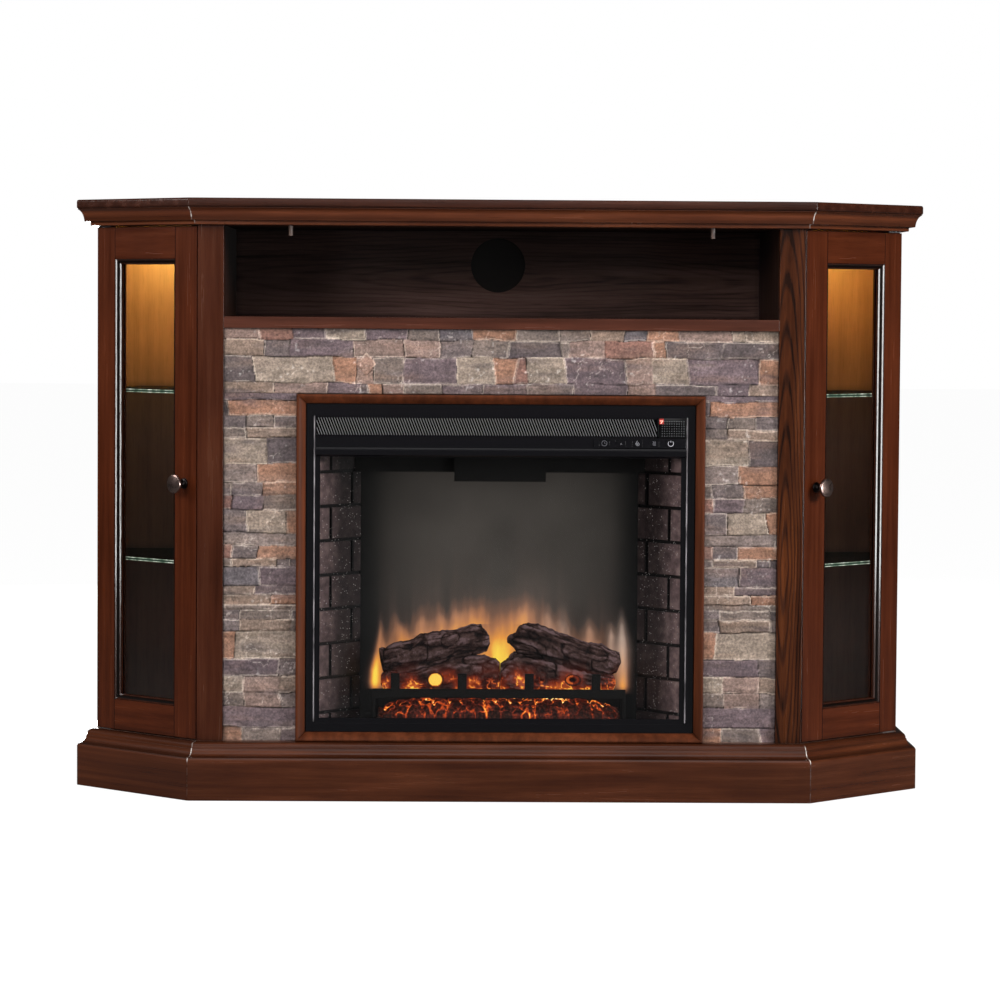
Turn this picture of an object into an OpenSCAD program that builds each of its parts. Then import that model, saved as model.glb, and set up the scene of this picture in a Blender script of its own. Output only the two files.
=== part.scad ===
// Electric fireplace in a media console with angled glass-door cabinets.
// Millimetres. X runs to the right, Y to the back, Z up.
// The origin is on the floor, in the middle of the footprint.

/* [Mantel] */
// Width over the mantel top
mantel_w = 1327; // [1290:1:1700]
// Height of the mantel top above the floor
mantel_h = 920; // [880:1:1150]
// Depth of the mantel top
mantel_d = 400; // [370:1:500]
// How far each front corner is cut back at 45 degrees
corner_run = 167.5; // [150:0.5:200]
// Thickness of the mantel top board
top_t = 14; // [12:0.5:20]
// Height of the crown moulding and of the panel inside it
crown_h = 27; // [24:0.5:40]
// Overhang of the mantel top past the body
crown_out = 31; // [28:0.5:40]
// Height of the base moulding
base_h = 89; // [80:1:110]
// Overhang of the base moulding past the body
base_out = 30; // [28:0.5:36]

/* [Panels] */
// Thickness of the side panels and partitions
panel_t = 16; // [12:0.5:19]
// Thickness of the deck panel
deck_t = 18; // [15:0.5:22]
// Thickness of the back panels
back_t = 6; // [3:0.5:9]
// Width of a pilaster
pilaster_w = 40; // [32:0.5:60]
// Thickness of a pilaster
pilaster_t = 18; // [16:0.5:22]
// Clear height of the media bay
bay_h = 139; // [120:1:170]
// Thickness of the media bay's shelf board
bay_shelf_t = 17.5; // [15:0.5:22]
// Radius of the cable hole in the bay's back
cable_r = 44; // [30:1:50]
// Height of the cable hole above the bay's floor
cable_z = 84; // [60:1:90]

/* [Surround] */
// Visible width of the wood trim round the insert
trim_w = 14; // [10:0.5:20]
// How far the trim stands out from the surround board
trim_t = 23; // [20:0.5:30]
// Thickness of the surround board
surround_t = 12; // [9:0.5:16]
// Thickness of the stone panels' moulded backing
stone_back = 6; // [5:0.5:8]
// Width of the joints between stones
stone_joint = 1.6; // [1.2:0.1:2.5]

/* [Doors] */
// Thickness of a door
door_t = 20; // [18:0.5:24]
// Gap above and below a door
door_gap = 2; // [1.5:0.1:3]
// Width of the stile that carries the pivots
hinge_stile = 42; // [36:0.5:60]
// Width of the stile that carries the knob
knob_stile = 50; // [40:0.5:60]
// Height of the top rail
top_rail = 49; // [40:0.5:70]
// Height of the bottom rail
bottom_rail = 47; // [40:0.5:70]
// Width of the moulded edge round the glass
sticking = 9; // [7:0.5:12]
// Thickness of the door glass
door_glass_t = 4; // [3:0.5:5]
// Height of the knobs above the floor
knob_z = 483; // [400:1:600]
// Radius of a pivot pin
pivot_r = 2; // [1.5:0.1:2.5]

/* [Shelves and lights] */
// Thickness of a glass shelf
shelf_t = 5; // [4:0.5:8]
// Top of the lower shelf above the floor
low_shelf_z = 361; // [250:1:420]
// Top of the upper shelf above the floor
high_shelf_z = 625; // [500:1:720]
// Radius of a cabinet light
puck_r = 34; // [25:1:40]

/* [Firebox insert] */
// Width of the insert's front frame
insert_w = 596; // [560:1:640]
// Height of the insert's front frame
insert_h = 504; // [490:1:520]
// Depth of the insert's casing
insert_d = 205; // [190:1:230]
// Thickness of the front frame
bezel_t = 10; // [8:0.5:12]
// Sheet thickness of the casing
sheet_t = 1.5; // [1:0.1:2.5]
// Height of the air outlet
outlet_h = 31; // [24:1:40]
// Spacing of the outlet's slanted slots
slot_pitch = 8.8; // [7:0.1:12]
// Depth from the glass to the flame screen
flame_depth = 80; // [70:1:90]
// Height of one brick course
course_h = 53; // [45:1:60]
// Travel of a button
button_travel = 1; // [0.6:0.1:1.2]

/* [Hidden] */

$fn = 64;
mitre_gap = 0.2;      // hairline at a mitre between two lengths
seat_gap = 0.3;       // between a piece and the seat that carries it
run_clear = 0.05;     // round a turning shaft or pin
slide_clear = 0.3;    // round a button

// Levels and planes of the cabinet
wood = [0.28, 0.13, 0.08];
back_y = mantel_d / 2;
front_y = crown_out - mantel_d / 2;
body_half = mantel_w / 2 - crown_out;
front_half = body_half - corner_run;
corner_y = front_y + corner_run;
ceiling_z = mantel_h - top_t - crown_h;
bay_floor_z = ceiling_z - bay_h;
header_top_z = bay_floor_z - bay_shelf_t;
inner_back_y = back_y - back_t;
bay_half = front_half - pilaster_w;
stone_y = front_y + pilaster_t - 2;

// Insert and trim
insert_half = insert_w / 2;
insert_z = base_h + trim_w + seat_gap;
insert_top_z = insert_z + insert_h;
trim_half = insert_half + 1 + trim_w;
trim_top_z = insert_top_z + 1 + trim_w;
bezel_y = stone_y - bezel_t;
frame_edge = 13;      // width of the insert's outer border
inner_edge = 8;       // width of the inner border round the glass
glass_half = insert_half - frame_edge;
glass_bottom_z = insert_z + frame_edge;
outlet_top_z = insert_top_z - 18.5;
outlet_bottom_z = outlet_top_z - outlet_h;
strip_h = 15;         // height of the control strip
strip_top_z = outlet_bottom_z - 0.7;
strip_mid_z = strip_top_z - strip_h / 2;
visor_top_z = strip_top_z - strip_h - 1;
visor_h = 14.5;
glass_top_z = visor_top_z - visor_h;
strip_left = 141.8;
display_left = 241.5;
button_x = [for (i = [0:4]) 158.4 + i * 25.5];
case_half = insert_half - frame_edge;
case_bottom_z = insert_z + 10;
case_top_z = insert_top_z - 10;
case_back_y = stone_y + insert_d;
case_floor_z = case_bottom_z + sheet_t;
baffle_z = glass_top_z;
screen_y = stone_y + flame_depth;
screen_half = 216;
splay = glass_half - inner_edge - screen_half;

// Plan of the body, moved outward by e: six corners from the back left to the back right
corner_tan = tan(22.5);
function outline(e) = [
    [-(body_half + e), back_y],
    [-(body_half + e), corner_y - e * corner_tan],
    [-(front_half + e * corner_tan), front_y - e],
    [front_half + e * corner_tan, front_y - e],
    [body_half + e, corner_y - e * corner_tan],
    [body_half + e, back_y]];

// Curve from a to b that leans towards c
function bend(a, c, b, n) =
    [for (i = [0:n]) let (t = i / n) a * (1 - t) * (1 - t) + c * 2 * t * (1 - t) + b * t * t];

// The child, a profile (outward, up), drawn out along side i of the body and past both of its ends
module side_prism(i, past) {
    a = outline(0)[i];
    b = outline(0)[i + 1];
    way = (b - a) / norm(b - a);
    translate([b.x + past * way.x, b.y + past * way.y, 0])
        rotate([90, 0, atan2(way.y, way.x) - 90])
            linear_extrude(norm(b - a) + 2 * past) children();
}

// One mitred length of moulding along side i of the body
module moulding_run(i, reach) {
    way = outline(0)[i + 1] - outline(0)[i];
    hairline = way / norm(way) * mitre_gap / 2;
    intersection() {
        side_prism(i, reach) children();
        translate([0, 0, -1])
            linear_extrude(base_h + 2)
                polygon([outline(-reach)[i] + hairline, outline(-reach)[i + 1] - hairline,
                         outline(reach)[i + 1] - hairline, outline(reach)[i] + hairline]);
    }
}

// Four mitred members of a w by h frame standing in the XZ plane, built inward from its edge;
// the child is the profile (inward, back) and reach is how far in it may go
module mitred_frame(w, h, reach, depth, gap) {
    places = [[[0, 0, 0], 0, w], [[w, 0, 0], -90, h], [[w, 0, h], 180, w], [[0, 0, h], 90, h]];
    for (p = places)
        translate(p[0]) rotate([0, p[1], 0]) frame_member(p[2], reach, depth, gap) children();
}

module frame_member(span, reach, depth, gap) {
    intersection() {
        translate([span + reach, 0, 0]) rotate([0, -90, 0]) linear_extrude(span + 2 * reach) children();
        translate([0, depth, 0])
            rotate([90, 0, 0])
                linear_extrude(2 * depth)
                    polygon([[gap - reach, -reach], [span + reach - gap, -reach],
                             [span - reach - gap, reach], [reach + gap, reach]]);
    }
}

// Closed body through a row of rings that each have the same number of points
module loft(rings) {
    n = len(rings[0]);
    last = (len(rings) - 1) * n;
    sides = [for (r = [0:len(rings) - 2], k = [0:n - 1])
             [r * n + k, r * n + (k + 1) % n, (r + 1) * n + (k + 1) % n, (r + 1) * n + k]];
    split = [for (q = sides) each [[q[0], q[1], q[2]], [q[0], q[2], q[3]]]];
    caps = [[for (k = [n - 1:-1:0]) k], [for (k = [0:n - 1]) last + k]];
    polyhedron([for (r = rings) each r], concat(split, caps), convexity = 4);
}

module box(x, y, z) {
    translate([x[0], y[0], z[0]]) cube([x[1] - x[0], y[1] - y[0], z[1] - z[0]]);
}

// Right-hand copy of a left-hand piece
module both_sides() {
    children();
    mirror([1, 0, 0]) children();
}

// ---- Mantel ----

// What is cut away outside the rounded edge of the top board
nose_waste = concat([[crown_out - 3, -1]], bend([crown_out - 3, 0], [crown_out, 0], [crown_out, 3], 4),
                    bend([crown_out, top_t - 4], [crown_out, top_t], [crown_out - 4, top_t], 5),
                    [[crown_out - 4, top_t + 1], [crown_out + 5, top_t + 1], [crown_out + 5, -1]]);

module mantel_top() {
    color(wood) translate([0, 0, mantel_h - top_t]) difference() {
        linear_extrude(top_t) polygon(outline(crown_out + 2));
        for (i = [0:4]) side_prism(i, 2 * crown_out) polygon(nose_waste);
    }
}

crown_foot = 10;
crown_profile = concat([[0, 0], [crown_foot, 1], [crown_foot, 7], [crown_out - 11.5, 7.5]],
                       bend([crown_out - 11.5, 7.5], [crown_out - 10, crown_h - 5],
                            [crown_out - 1.5, crown_h - 1], 7),
                       [[crown_out - 1.5, crown_h], [0, crown_h]]);

module crown_moulding() {
    color(wood) translate([0, 0, ceiling_z])
        for (i = [0:4]) moulding_run(i, crown_out + 2) polygon(crown_profile);
}

module top_panel() {
    color(wood) translate([0, 0, ceiling_z]) linear_extrude(crown_h) polygon(outline(0));
}

base_board_t = 18;
base_profile = concat([[base_out - base_board_t, 0], [base_out, 0], [base_out, base_h - 26],
                       [base_out - 1, base_h - 25]],
                      bend([base_out - 2, base_h - 23], [base_out - 13, base_h - 22],
                           [base_out - 14, base_h - 10], 6),
                      [[base_out - 15.5, base_h - 9.5]],
                      bend([base_out - 15.5, base_h - 7], [base_out - 17, base_h], [2, base_h], 6),
                      [[0, base_h], [0, base_h - deck_t - 2], [base_out - base_board_t, base_h - deck_t - 12]]);

module base_moulding() {
    color(wood) for (i = [0:4]) moulding_run(i, base_out + 2) polygon(base_profile);
}

module base_cleats() {
    color(wood) {
        box([-front_half + 20, front_half - 20], [front_y + 25, front_y + 43], [0, base_h - deck_t]);
        box([seat_gap - body_half, body_half - seat_gap], [back_y - 18, back_y], [0, base_h - deck_t]);
    }
}

module deck_panel() {
    color(wood) translate([0, 0, base_h - deck_t]) linear_extrude(deck_t) polygon(outline(0));
}

// ---- Standing panels ----

// The door's faces lie on lines y = x - offset in the right-hand half
function behind_door(depth, x) = x - front_half + front_y + depth * sqrt(2);

module pilasters() {
    color(wood) both_sides() translate([0, 0, base_h]) linear_extrude(ceiling_z - base_h)
        polygon([[bay_half, front_y], [front_half, front_y],
                 [front_half - pilaster_t, front_y + pilaster_t], [bay_half, front_y + pilaster_t]]);
}

// Shelf pins: four for each shelf, on the side panel and on the partition
shelf_levels = [low_shelf_z - shelf_t, high_shelf_z - shelf_t];
pin_r = 2.5;
pin_depth = 8;
wall_pin_y = [corner_y + 60, inner_back_y - 35];
partition_pin_y = [front_y + pilaster_t + 45, inner_back_y - 35];

module pin_holes(x, places) {
    for (z = shelf_levels, y = places)
        translate([x, y, z - pin_r - 1]) rotate([0, 90, 0])
            cylinder(r = pin_r + run_clear, h = pin_depth + 1, $fn = 32);
}

module partitions() {
    color(wood) both_sides() difference() {
        box([bay_half, bay_half + panel_t], [front_y + pilaster_t, inner_back_y], [base_h, ceiling_z]);
        pin_holes(bay_half + panel_t - pin_depth, partition_pin_y);
    }
}

side_clear = 2;       // between a door's back and the side panel's edge

module side_panels() {
    inner = body_half - panel_t;
    color(wood) both_sides() difference() {
        translate([0, 0, base_h]) linear_extrude(ceiling_z - base_h)
            polygon([[inner, behind_door(door_t + side_clear, inner)],
                     [body_half, behind_door(door_t + side_clear, body_half)],
                     [body_half, inner_back_y], [inner, inner_back_y]]);
        pin_holes(inner - 1, wall_pin_y);
    }
}

module bay_shelf() {
    color(wood) box([-bay_half, bay_half], [front_y, inner_back_y], [header_top_z, bay_floor_z]);
}

module bay_back() {
    color(wood) difference() {
        box([-bay_half, bay_half], [inner_back_y, back_y], [header_top_z, ceiling_z]);
        translate([0, inner_back_y - 1, bay_floor_z + cable_z]) rotate([-90, 0, 0])
            cylinder(r = cable_r, h = back_t + 2);
    }
}

module cabinet_backs() {
    color(wood) both_sides()
        box([bay_half + seat_gap, body_half], [inner_back_y, back_y], [base_h, ceiling_z]);
}

// Two round pins that hang from the ceiling of the media bay
bolt_x = 324;
bolt_y = front_y + 29;
bolt_r = 3.4;
bolt_drop = 15;

module bay_bolts() {
    color("silver") both_sides() translate([bolt_x, bolt_y, ceiling_z]) rotate([180, 0, 0])
        rotate_extrude()
            polygon([[0, 0], [bolt_r, 0], [bolt_r, bolt_drop - 0.6], [bolt_r - 0.6, bolt_drop], [0, bolt_drop]]);
}

// ---- Stone surround ----

module surround_board() {
    hole_half = case_half + 3;
    color([0.3, 0.28, 0.27]) difference() {
        box([-bay_half, bay_half], [stone_y, stone_y + surround_t], [base_h, header_top_z]);
        box([-hole_half, hole_half], [stone_y - 1, stone_y + surround_t + 1],
            [case_bottom_z - 3, case_top_z + 3]);
    }
}

// Courses of a stone panel: bottom, top and the joints between stones, laid out by hand for a
// panel of the pattern's own size and stretched to the panel that it fills
header_pattern = [850, 99];
header_courses = [
    [0, 16, [0, 77, 159, 210, 221, 242, 276, 334, 396, 466, 536, 619, 661, 755, 805, 850]],
    [16, 56, [0, 46, 168, 203, 229, 275, 356, 414, 447, 464, 523, 616, 656, 711, 820, 850]],
    [56, 82, [0, 61, 100, 198, 276, 331, 381, 436, 516, 529, 583, 658, 677, 765, 850]],
    [82, 99, [0, 55, 105, 156, 216, 281, 330, 381, 447, 514, 561, 613, 648, 697, 779, 799, 850]]];
leg_pattern = [112, 534];
leg_courses = [
    [0, 21, [0, 29, 89, 112]], [21, 52, [0, 112]], [52, 75, [0, 32, 88, 112]],
    [75, 100, [0, 31, 87, 112]], [100, 127, [0, 86, 112]], [127, 169, [0, 18, 112]],
    [169, 188, [0, 25, 104, 112]], [188, 203, [0, 25, 104, 112]], [203, 211, [0, 112]],
    [211, 226, [0, 73, 112]], [226, 239, [0, 48, 112]], [239, 269, [0, 55, 112]],
    [269, 281, [0, 13, 82, 103, 112]], [281, 301, [0, 13, 52, 112]], [301, 320, [0, 112]],
    [320, 355, [0, 35, 97, 112]], [355, 378, [0, 13, 61, 112]], [378, 398, [0, 12, 60, 112]],
    [398, 426, [0, 52, 112]], [426, 466, [0, 67, 112]], [466, 482, [0, 34, 112]],
    [482, 501, [0, 34, 77, 112]], [501, 524, [0, 7, 112]], [524, 534, [0, 112]]];
stone_rise = [2.6, 5.6];

function rise(i, k) = stone_rise[0] + (stone_rise[1] - stone_rise[0]) * abs(sin(97 * i + 151 * k + 20));

module stone_panel(w, h, pattern, courses) {
    sx = w / pattern.x;
    sz = h / pattern.y;
    box([0, w], [-stone_back, 0], [0, h]);
    for (i = [0:len(courses) - 1], k = [0:len(courses[i][2]) - 2]) {
        joints = courses[i][2];
        left = joints[k] * sx + stone_joint / 2;
        right = joints[k + 1] * sx - stone_joint / 2;
        translate([0, 0, courses[i][0] * sz + stone_joint / 2])
            linear_extrude((courses[i][1] - courses[i][0]) * sz - stone_joint)
                polygon([[left, 1 - stone_back], [left + 0.6, -stone_back - rise(i, k)],
                         [right - 0.6, -stone_back - rise(i, k + 1)], [right, 1 - stone_back]]);
    }
}

module stone_header() {
    z = trim_top_z + 1;
    color([0.6, 0.53, 0.5]) translate([seat_gap - bay_half, stone_y, z])
        stone_panel(2 * (bay_half - seat_gap), header_top_z - z, header_pattern, header_courses);
}

module stone_leg(x) {
    color([0.6, 0.53, 0.5]) translate([x, stone_y, base_h])
        stone_panel(bay_half - trim_half - 2 * seat_gap, trim_top_z + 1 - seat_gap - base_h,
                    leg_pattern, leg_courses);
}

module stone_leg_left() stone_leg(seat_gap - bay_half);
module stone_leg_right() stone_leg(trim_half + seat_gap);

trim_profile = concat([[0, trim_t], [0, 1.5], [1, 0.3]], bend([3, 0], [7, 1], [trim_w, 9.5], 5),
                      [[trim_w, trim_t]]);

module trim_frame() {
    color(wood) translate([-trim_half, stone_y - trim_t, base_h])
        mitred_frame(2 * trim_half, trim_top_z - base_h, trim_w + 1, trim_t + 1, mitre_gap / 2)
            polygon(trim_profile);
}

// ---- Corner doors: X runs along the door from its outer edge, Y to its back ----

door_face = corner_run * sqrt(2);
edge_gap = 1;
meet_gap = 1.9;
door_w = door_face - edge_gap - meet_gap;
door_bottom_z = base_h + door_gap;
door_top_z = ceiling_z - door_gap;
door_h = door_top_z - door_bottom_z;
panel_x = edge_gap + hinge_stile;
panel_z = door_bottom_z + bottom_rail;
panel_w = door_w - hinge_stile - knob_stile;
panel_h = door_h - bottom_rail - top_rail;
lip_t = 10;           // front lip that the glass lies against
rebate = 3;           // how far the rebate is cut into the stiles and rails
pivot_x = edge_gap + 6;
pivot_y = 6;
pivot_depth = 15;
knob_x = edge_gap + door_w - 27.5;

module left_corner() {
    translate([-body_half, corner_y, 0]) rotate([0, 0, -45]) children();
}

sticking_profile = concat([[-2, 1.2], [0.6, 1.2]], bend([0.6, 1.8], [4, 1.6], [5, 4.5], 4),
                          bend([5.6, 5], [8.4, 5.4], [sticking, 8.6], 4), [[sticking, lip_t], [-2, lip_t]]);

module door_frame() {
    difference() {
        union() {
            difference() {
                box([edge_gap, edge_gap + door_w], [0, door_t], [door_bottom_z, door_top_z]);
                box([panel_x, panel_x + panel_w], [-1, door_t + 1], [panel_z, panel_z + panel_h]);
            }
            translate([panel_x, 0, panel_z])
                mitred_frame(panel_w, panel_h, sticking + 1, lip_t + 1, 0) polygon(sticking_profile);
        }
        box([panel_x - rebate, panel_x + panel_w + rebate], [lip_t, door_t + 1],
            [panel_z - rebate, panel_z + panel_h + rebate]);
        for (z = [door_bottom_z - 1, door_top_z - pivot_depth])
            translate([pivot_x, pivot_y, z]) cylinder(r = pivot_r + run_clear, h = pivot_depth + 1);
    }
}

module door_glass() {
    play = rebate - 0.5;
    box([panel_x - play, panel_x + panel_w + play], [lip_t + 0.2, lip_t + 0.2 + door_glass_t],
        [panel_z - play, panel_z + panel_h + play]);
}

module glass_beads() {
    play = rebate - 0.2;
    near = lip_t + door_glass_t + 0.4;
    translate([panel_x - play, 0, panel_z - play])
        mitred_frame(panel_w + 2 * play, panel_h + 2 * play, 12, door_t, mitre_gap / 2)
            polygon([[0, near], [10, near], [10, near + 2], [7, door_t], [0, door_t]]);
}

// Disc knob with a low crowned face, on its stem and rosette, turned about its own axis
knob_profile = concat([[0, 0], [8.2, 0]], bend([8.2, 1.4], [8, 3], [5.8, 3], 3), [[4.4, 4.6]],
                      bend([3.4, 7], [3.4, 14], [8, 16.4], 5),
                      bend([12, 17.5], [14.4, 17.8], [14.6, 20.2], 4),
                      bend([14.5, 22.2], [13, 23.4], [0, 24.4], 7));
strike_z = door_top_z - 21;

module door_fittings() {
    translate([knob_x, 0, knob_z]) rotate([90, 0, 0]) rotate_extrude() polygon(knob_profile);
    box([knob_x - 10, knob_x + 10], [door_t, door_t + 1], [strike_z, strike_z + 12]);
}

module door_catch() {
    box([knob_x - 8, knob_x + 8], [door_t + 1.2, door_t + 13], [strike_z + 1, ceiling_z]);
}

// Pivot plates on the deck and under the top panel, each with its pin in the door's stile
module pivot(up) {
    plate_t = door_gap - 0.7;
    translate([pivot_x, pivot_y, up ? base_h : ceiling_z]) mirror([0, 0, up ? 0 : 1]) {
        box([-5, 24], [-4, 8], [0, plate_t]);
        cylinder(r = pivot_r, h = door_gap + pivot_depth - 2);
    }
}

module left_door_frame() color(wood) left_corner() door_frame();
module left_door_glass() color([0.8, 0.85, 0.85, 0.4]) left_corner() door_glass();
module left_glass_beads() color(wood) left_corner() glass_beads();
module left_door_fittings() color("dimgray") left_corner() door_fittings();
module right_door_frame() mirror([1, 0, 0]) left_door_frame();
module right_door_glass() mirror([1, 0, 0]) left_door_glass();
module right_glass_beads() mirror([1, 0, 0]) left_glass_beads();
module right_door_fittings() mirror([1, 0, 0]) left_door_fittings();
module door_pivots() color("silver") both_sides() left_corner() for (up = [true, false]) pivot(up);
module door_catches() color("saddlebrown") both_sides() left_corner() door_catch();

// ---- Glass shelves, pins and lights ----

shelf_play = 1.5;
shelf_front = door_t + 6;

module glass_shelves() {
    near = bay_half + panel_t + shelf_play;
    far = body_half - panel_t - shelf_play;
    clear_y = front_y + pilaster_t + 3;
    rear_y = inner_back_y - shelf_play;
    color([0.7, 0.85, 0.75, 0.5]) for (z = shelf_levels) translate([0, 0, z]) linear_extrude(shelf_t)
        polygon([[near, clear_y], [front_half - front_y + clear_y - shelf_front * sqrt(2), clear_y],
                 [far, behind_door(shelf_front, far)], [far, rear_y], [near, rear_y]]);
}

module right_glass_shelves() glass_shelves();
module left_glass_shelves() mirror([1, 0, 0]) glass_shelves();

// A pin points along +X out of the wall and its flat head carries the shelf
module shelf_pin() {
    head = 7;
    rotate([0, 90, 0]) translate([0, 0, 0.2 - pin_depth]) cylinder(r = pin_r, h = pin_depth + 1, $fn = 32);
    box([0, head], [-head / 2, head / 2], [pin_r - 2, pin_r + 1]);
}

module shelf_pins() {
    color("silver") both_sides() for (z = shelf_levels) {
        for (y = partition_pin_y) translate([bay_half + panel_t, y, z - pin_r - 1]) shelf_pin();
        for (y = wall_pin_y)
            translate([body_half - panel_t, y, z - pin_r - 1]) mirror([1, 0, 0]) shelf_pin();
    }
}

puck_x = (bay_half + body_half) / 2;
puck_y = corner_y + 65;
puck_h = 13;
lens_t = 2.5;

module puck_lights() {
    color("lightgray") both_sides() translate([puck_x, puck_y, ceiling_z]) rotate([180, 0, 0])
        rotate_extrude()
            polygon([[0, 0], [puck_r, 0], [puck_r, puck_h - 3], [puck_r - 3, puck_h], [puck_r - 6, puck_h],
                     [puck_r - 6, puck_h - lens_t - 0.5], [0, puck_h - lens_t - 0.5]]);
}

module puck_lenses() {
    color("khaki") both_sides() translate([puck_x, puck_y, ceiling_z - puck_h])
        cylinder(r = puck_r - 6 - seat_gap, h = lens_t);
}

// ---- Firebox insert: sheet-metal casing and its covers ----

module insert_casing() {
    runner_h = case_bottom_z - base_h;
    color([0.12, 0.12, 0.13]) {
        difference() {
            box([-case_half, case_half], [stone_y, case_back_y], [case_bottom_z, case_top_z]);
            box([sheet_t - case_half, case_half - sheet_t], [stone_y - 1, case_back_y + 1],
                [case_floor_z, case_top_z - sheet_t]);
        }
        for (x = [-case_half + 40, case_half - 70]) difference() {
            box([x, x + 30], [stone_y + 20, case_back_y - 15], [base_h, case_bottom_z + 0.5]);
            box([x + sheet_t, x + 30 - sheet_t], [stone_y + 19, case_back_y - 14],
                [base_h + sheet_t, case_bottom_z]);
        }
    }
}

gland_x = case_half - 60;
gland_z = case_bottom_z + 45;
gland_r = 9;

module rear_cover() {
    rows = [case_bottom_z + 90, case_top_z - 70];
    vents = 18;
    vent_pitch = (2 * case_half - 80) / vents;
    color([0.14, 0.14, 0.15]) difference() {
        box([1 - case_half, case_half - 1], [case_back_y, case_back_y + sheet_t],
            [case_bottom_z + 1, case_top_z - 1]);
        for (z = rows, i = [0:vents - 1])
            box([40 - case_half + i * vent_pitch, 45 - case_half + i * vent_pitch],
                [case_back_y - 1, case_back_y + sheet_t + 1], [z, z + 42]);
        translate([gland_x, case_back_y - 1, gland_z]) rotate([-90, 0, 0])
            cylinder(r = gland_r + 0.1, h = sheet_t + 2);
    }
}

module cord_gland() {
    color("black") translate([gland_x, case_back_y + sheet_t, gland_z]) rotate([-90, 0, 0]) rotate_extrude()
        polygon([[4, -8], [gland_r, -8], [gland_r, 0], [gland_r + 4, 0], [gland_r + 4, 3],
                 [gland_r, 4.5], [6.5, 16], [4, 16]]);
}

// Front frame: outer border, outlet slot, control strip, visor and stepped border round the glass
module insert_front() {
    ledge = 2;
    y = bezel_y;
    back = stone_y;
    color([0.1, 0.1, 0.12]) difference() {
        union() {
            box([-insert_half, insert_half], [y, back], [insert_z, insert_top_z]);
            translate([-glass_half, 0, 0]) rotate([90, 0, 90]) linear_extrude(2 * glass_half)
                polygon([[y + 1, glass_top_z], [y - 4, glass_top_z + 3], [y - 5, visor_top_z - 3],
                         [y - 3.5, visor_top_z - 0.5], [y + 1, visor_top_z]]);
        }
        box([-glass_half, glass_half], [y - 1, y + 3], [glass_bottom_z, glass_top_z]);
        box([inner_edge - glass_half, glass_half - inner_edge], [y - 1, back + 1],
            [glass_bottom_z + inner_edge, glass_top_z]);
        box([2.5 - glass_half, glass_half - 2.5], [y + 6, back + 1],
            [glass_bottom_z + 2.5, glass_top_z + 8]);
        box([-glass_half, glass_half], [y - 1, y + ledge], [outlet_bottom_z, outlet_top_z]);
        box([ledge - glass_half, glass_half - ledge], [y - 1, back + 1],
            [outlet_bottom_z + ledge, outlet_top_z - ledge]);
        box([strip_left - seat_gap, glass_half - 1], [y - 1, y + ledge],
            [strip_top_z - strip_h - seat_gap, strip_top_z + seat_gap]);
        box([strip_left + 2, glass_half - 4], [y - 1, back + 1],
            [strip_mid_z - flange_h / 2 - 0.3, strip_mid_z + flange_h / 2 + 0.3]);
    }
}

// Slanted slots across the air outlet, between a plain border all round
module outlet_grille() {
    w = display_left + glass_half - 2 * seat_gap;
    h = outlet_h - 2 * seat_gap;
    rim = 3;
    bar = 0.45 * slot_pitch;
    lean = (h - 2 * rim) * 0.5;
    count = floor((w - 2 * rim - lean) / slot_pitch);
    color([0.3, 0.3, 0.32]) translate([seat_gap - glass_half, bezel_y + 2, outlet_bottom_z + seat_gap])
        rotate([90, 0, 0]) linear_extrude(1.5) difference() {
            square([w, h]);
            for (i = [0:count - 1]) translate([rim + lean + i * slot_pitch, rim])
                polygon([[0, 0], [slot_pitch - bar, 0], [slot_pitch - bar - lean, h - 2 * rim],
                         [-lean, h - 2 * rim]]);
        }
}

module display_window() {
    led = [display_left + 4.5, outlet_top_z - 4];
    color([0.05, 0.05, 0.05]) difference() {
        box([display_left, glass_half - seat_gap], [bezel_y - 0.6, bezel_y + 2],
            [outlet_bottom_z + seat_gap, outlet_top_z - seat_gap]);
        translate([led.x, bezel_y + 3, led.y]) rotate([90, 0, 0]) cylinder(r = 2.3, h = 6, $fn = 32);
    }
    color("red") translate([led.x, bezel_y + 4, led.y]) rotate([90, 0, 0])
        rotate_extrude($fn = 32) polygon([[0, 0], [2, 0], [2, 5], [1.4, 5.8], [0, 6.2]]);
}

// ---- Control strip and its buttons ----

key_w = 15;
key_h = 9;
flange_h = 11;
strip_t = 4;

module control_panel() {
    color([0.07, 0.07, 0.08]) difference() {
        box([strip_left, glass_half - 1.3], [bezel_y + 2 - strip_t, bezel_y + 2],
            [strip_top_z - strip_h, strip_top_z]);
        for (x = button_x)
            box([x - key_w / 2 - slide_clear, x + key_w / 2 + slide_clear],
                [bezel_y - 3, bezel_y + 3],
                [strip_mid_z - key_h / 2 - slide_clear, strip_mid_z + key_h / 2 + slide_clear]);
    }
}

// A key with the flange that keeps it in and the stem that reaches its switch
module button(i) {
    face = bezel_y + 2 - strip_t - 0.4;
    flange = bezel_y + 2.2;
    color([0.1, 0.1, 0.11]) translate([button_x[i], 0, strip_mid_z]) {
        box([-key_w / 2, key_w / 2], [face, flange + 1], [-key_h / 2, key_h / 2]);
        box([-key_w / 2 - 1, key_w / 2 + 1], [flange, flange + 1.8], [-flange_h / 2, flange_h / 2]);
        translate([0, switch_y - button_travel - 0.2, 0]) rotate([90, 0, 0])
            cylinder(r = 2, h = switch_y - button_travel - 0.2 - flange - 1, $fn = 32);
    }
}

module timer_button() button(0);
module dimmer_button() button(1);
module flame_button() button(2);
module heat_button() button(3);
module power_button() button(4);

board_y = stone_y + 6;
switch_y = board_y - 1;

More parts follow.
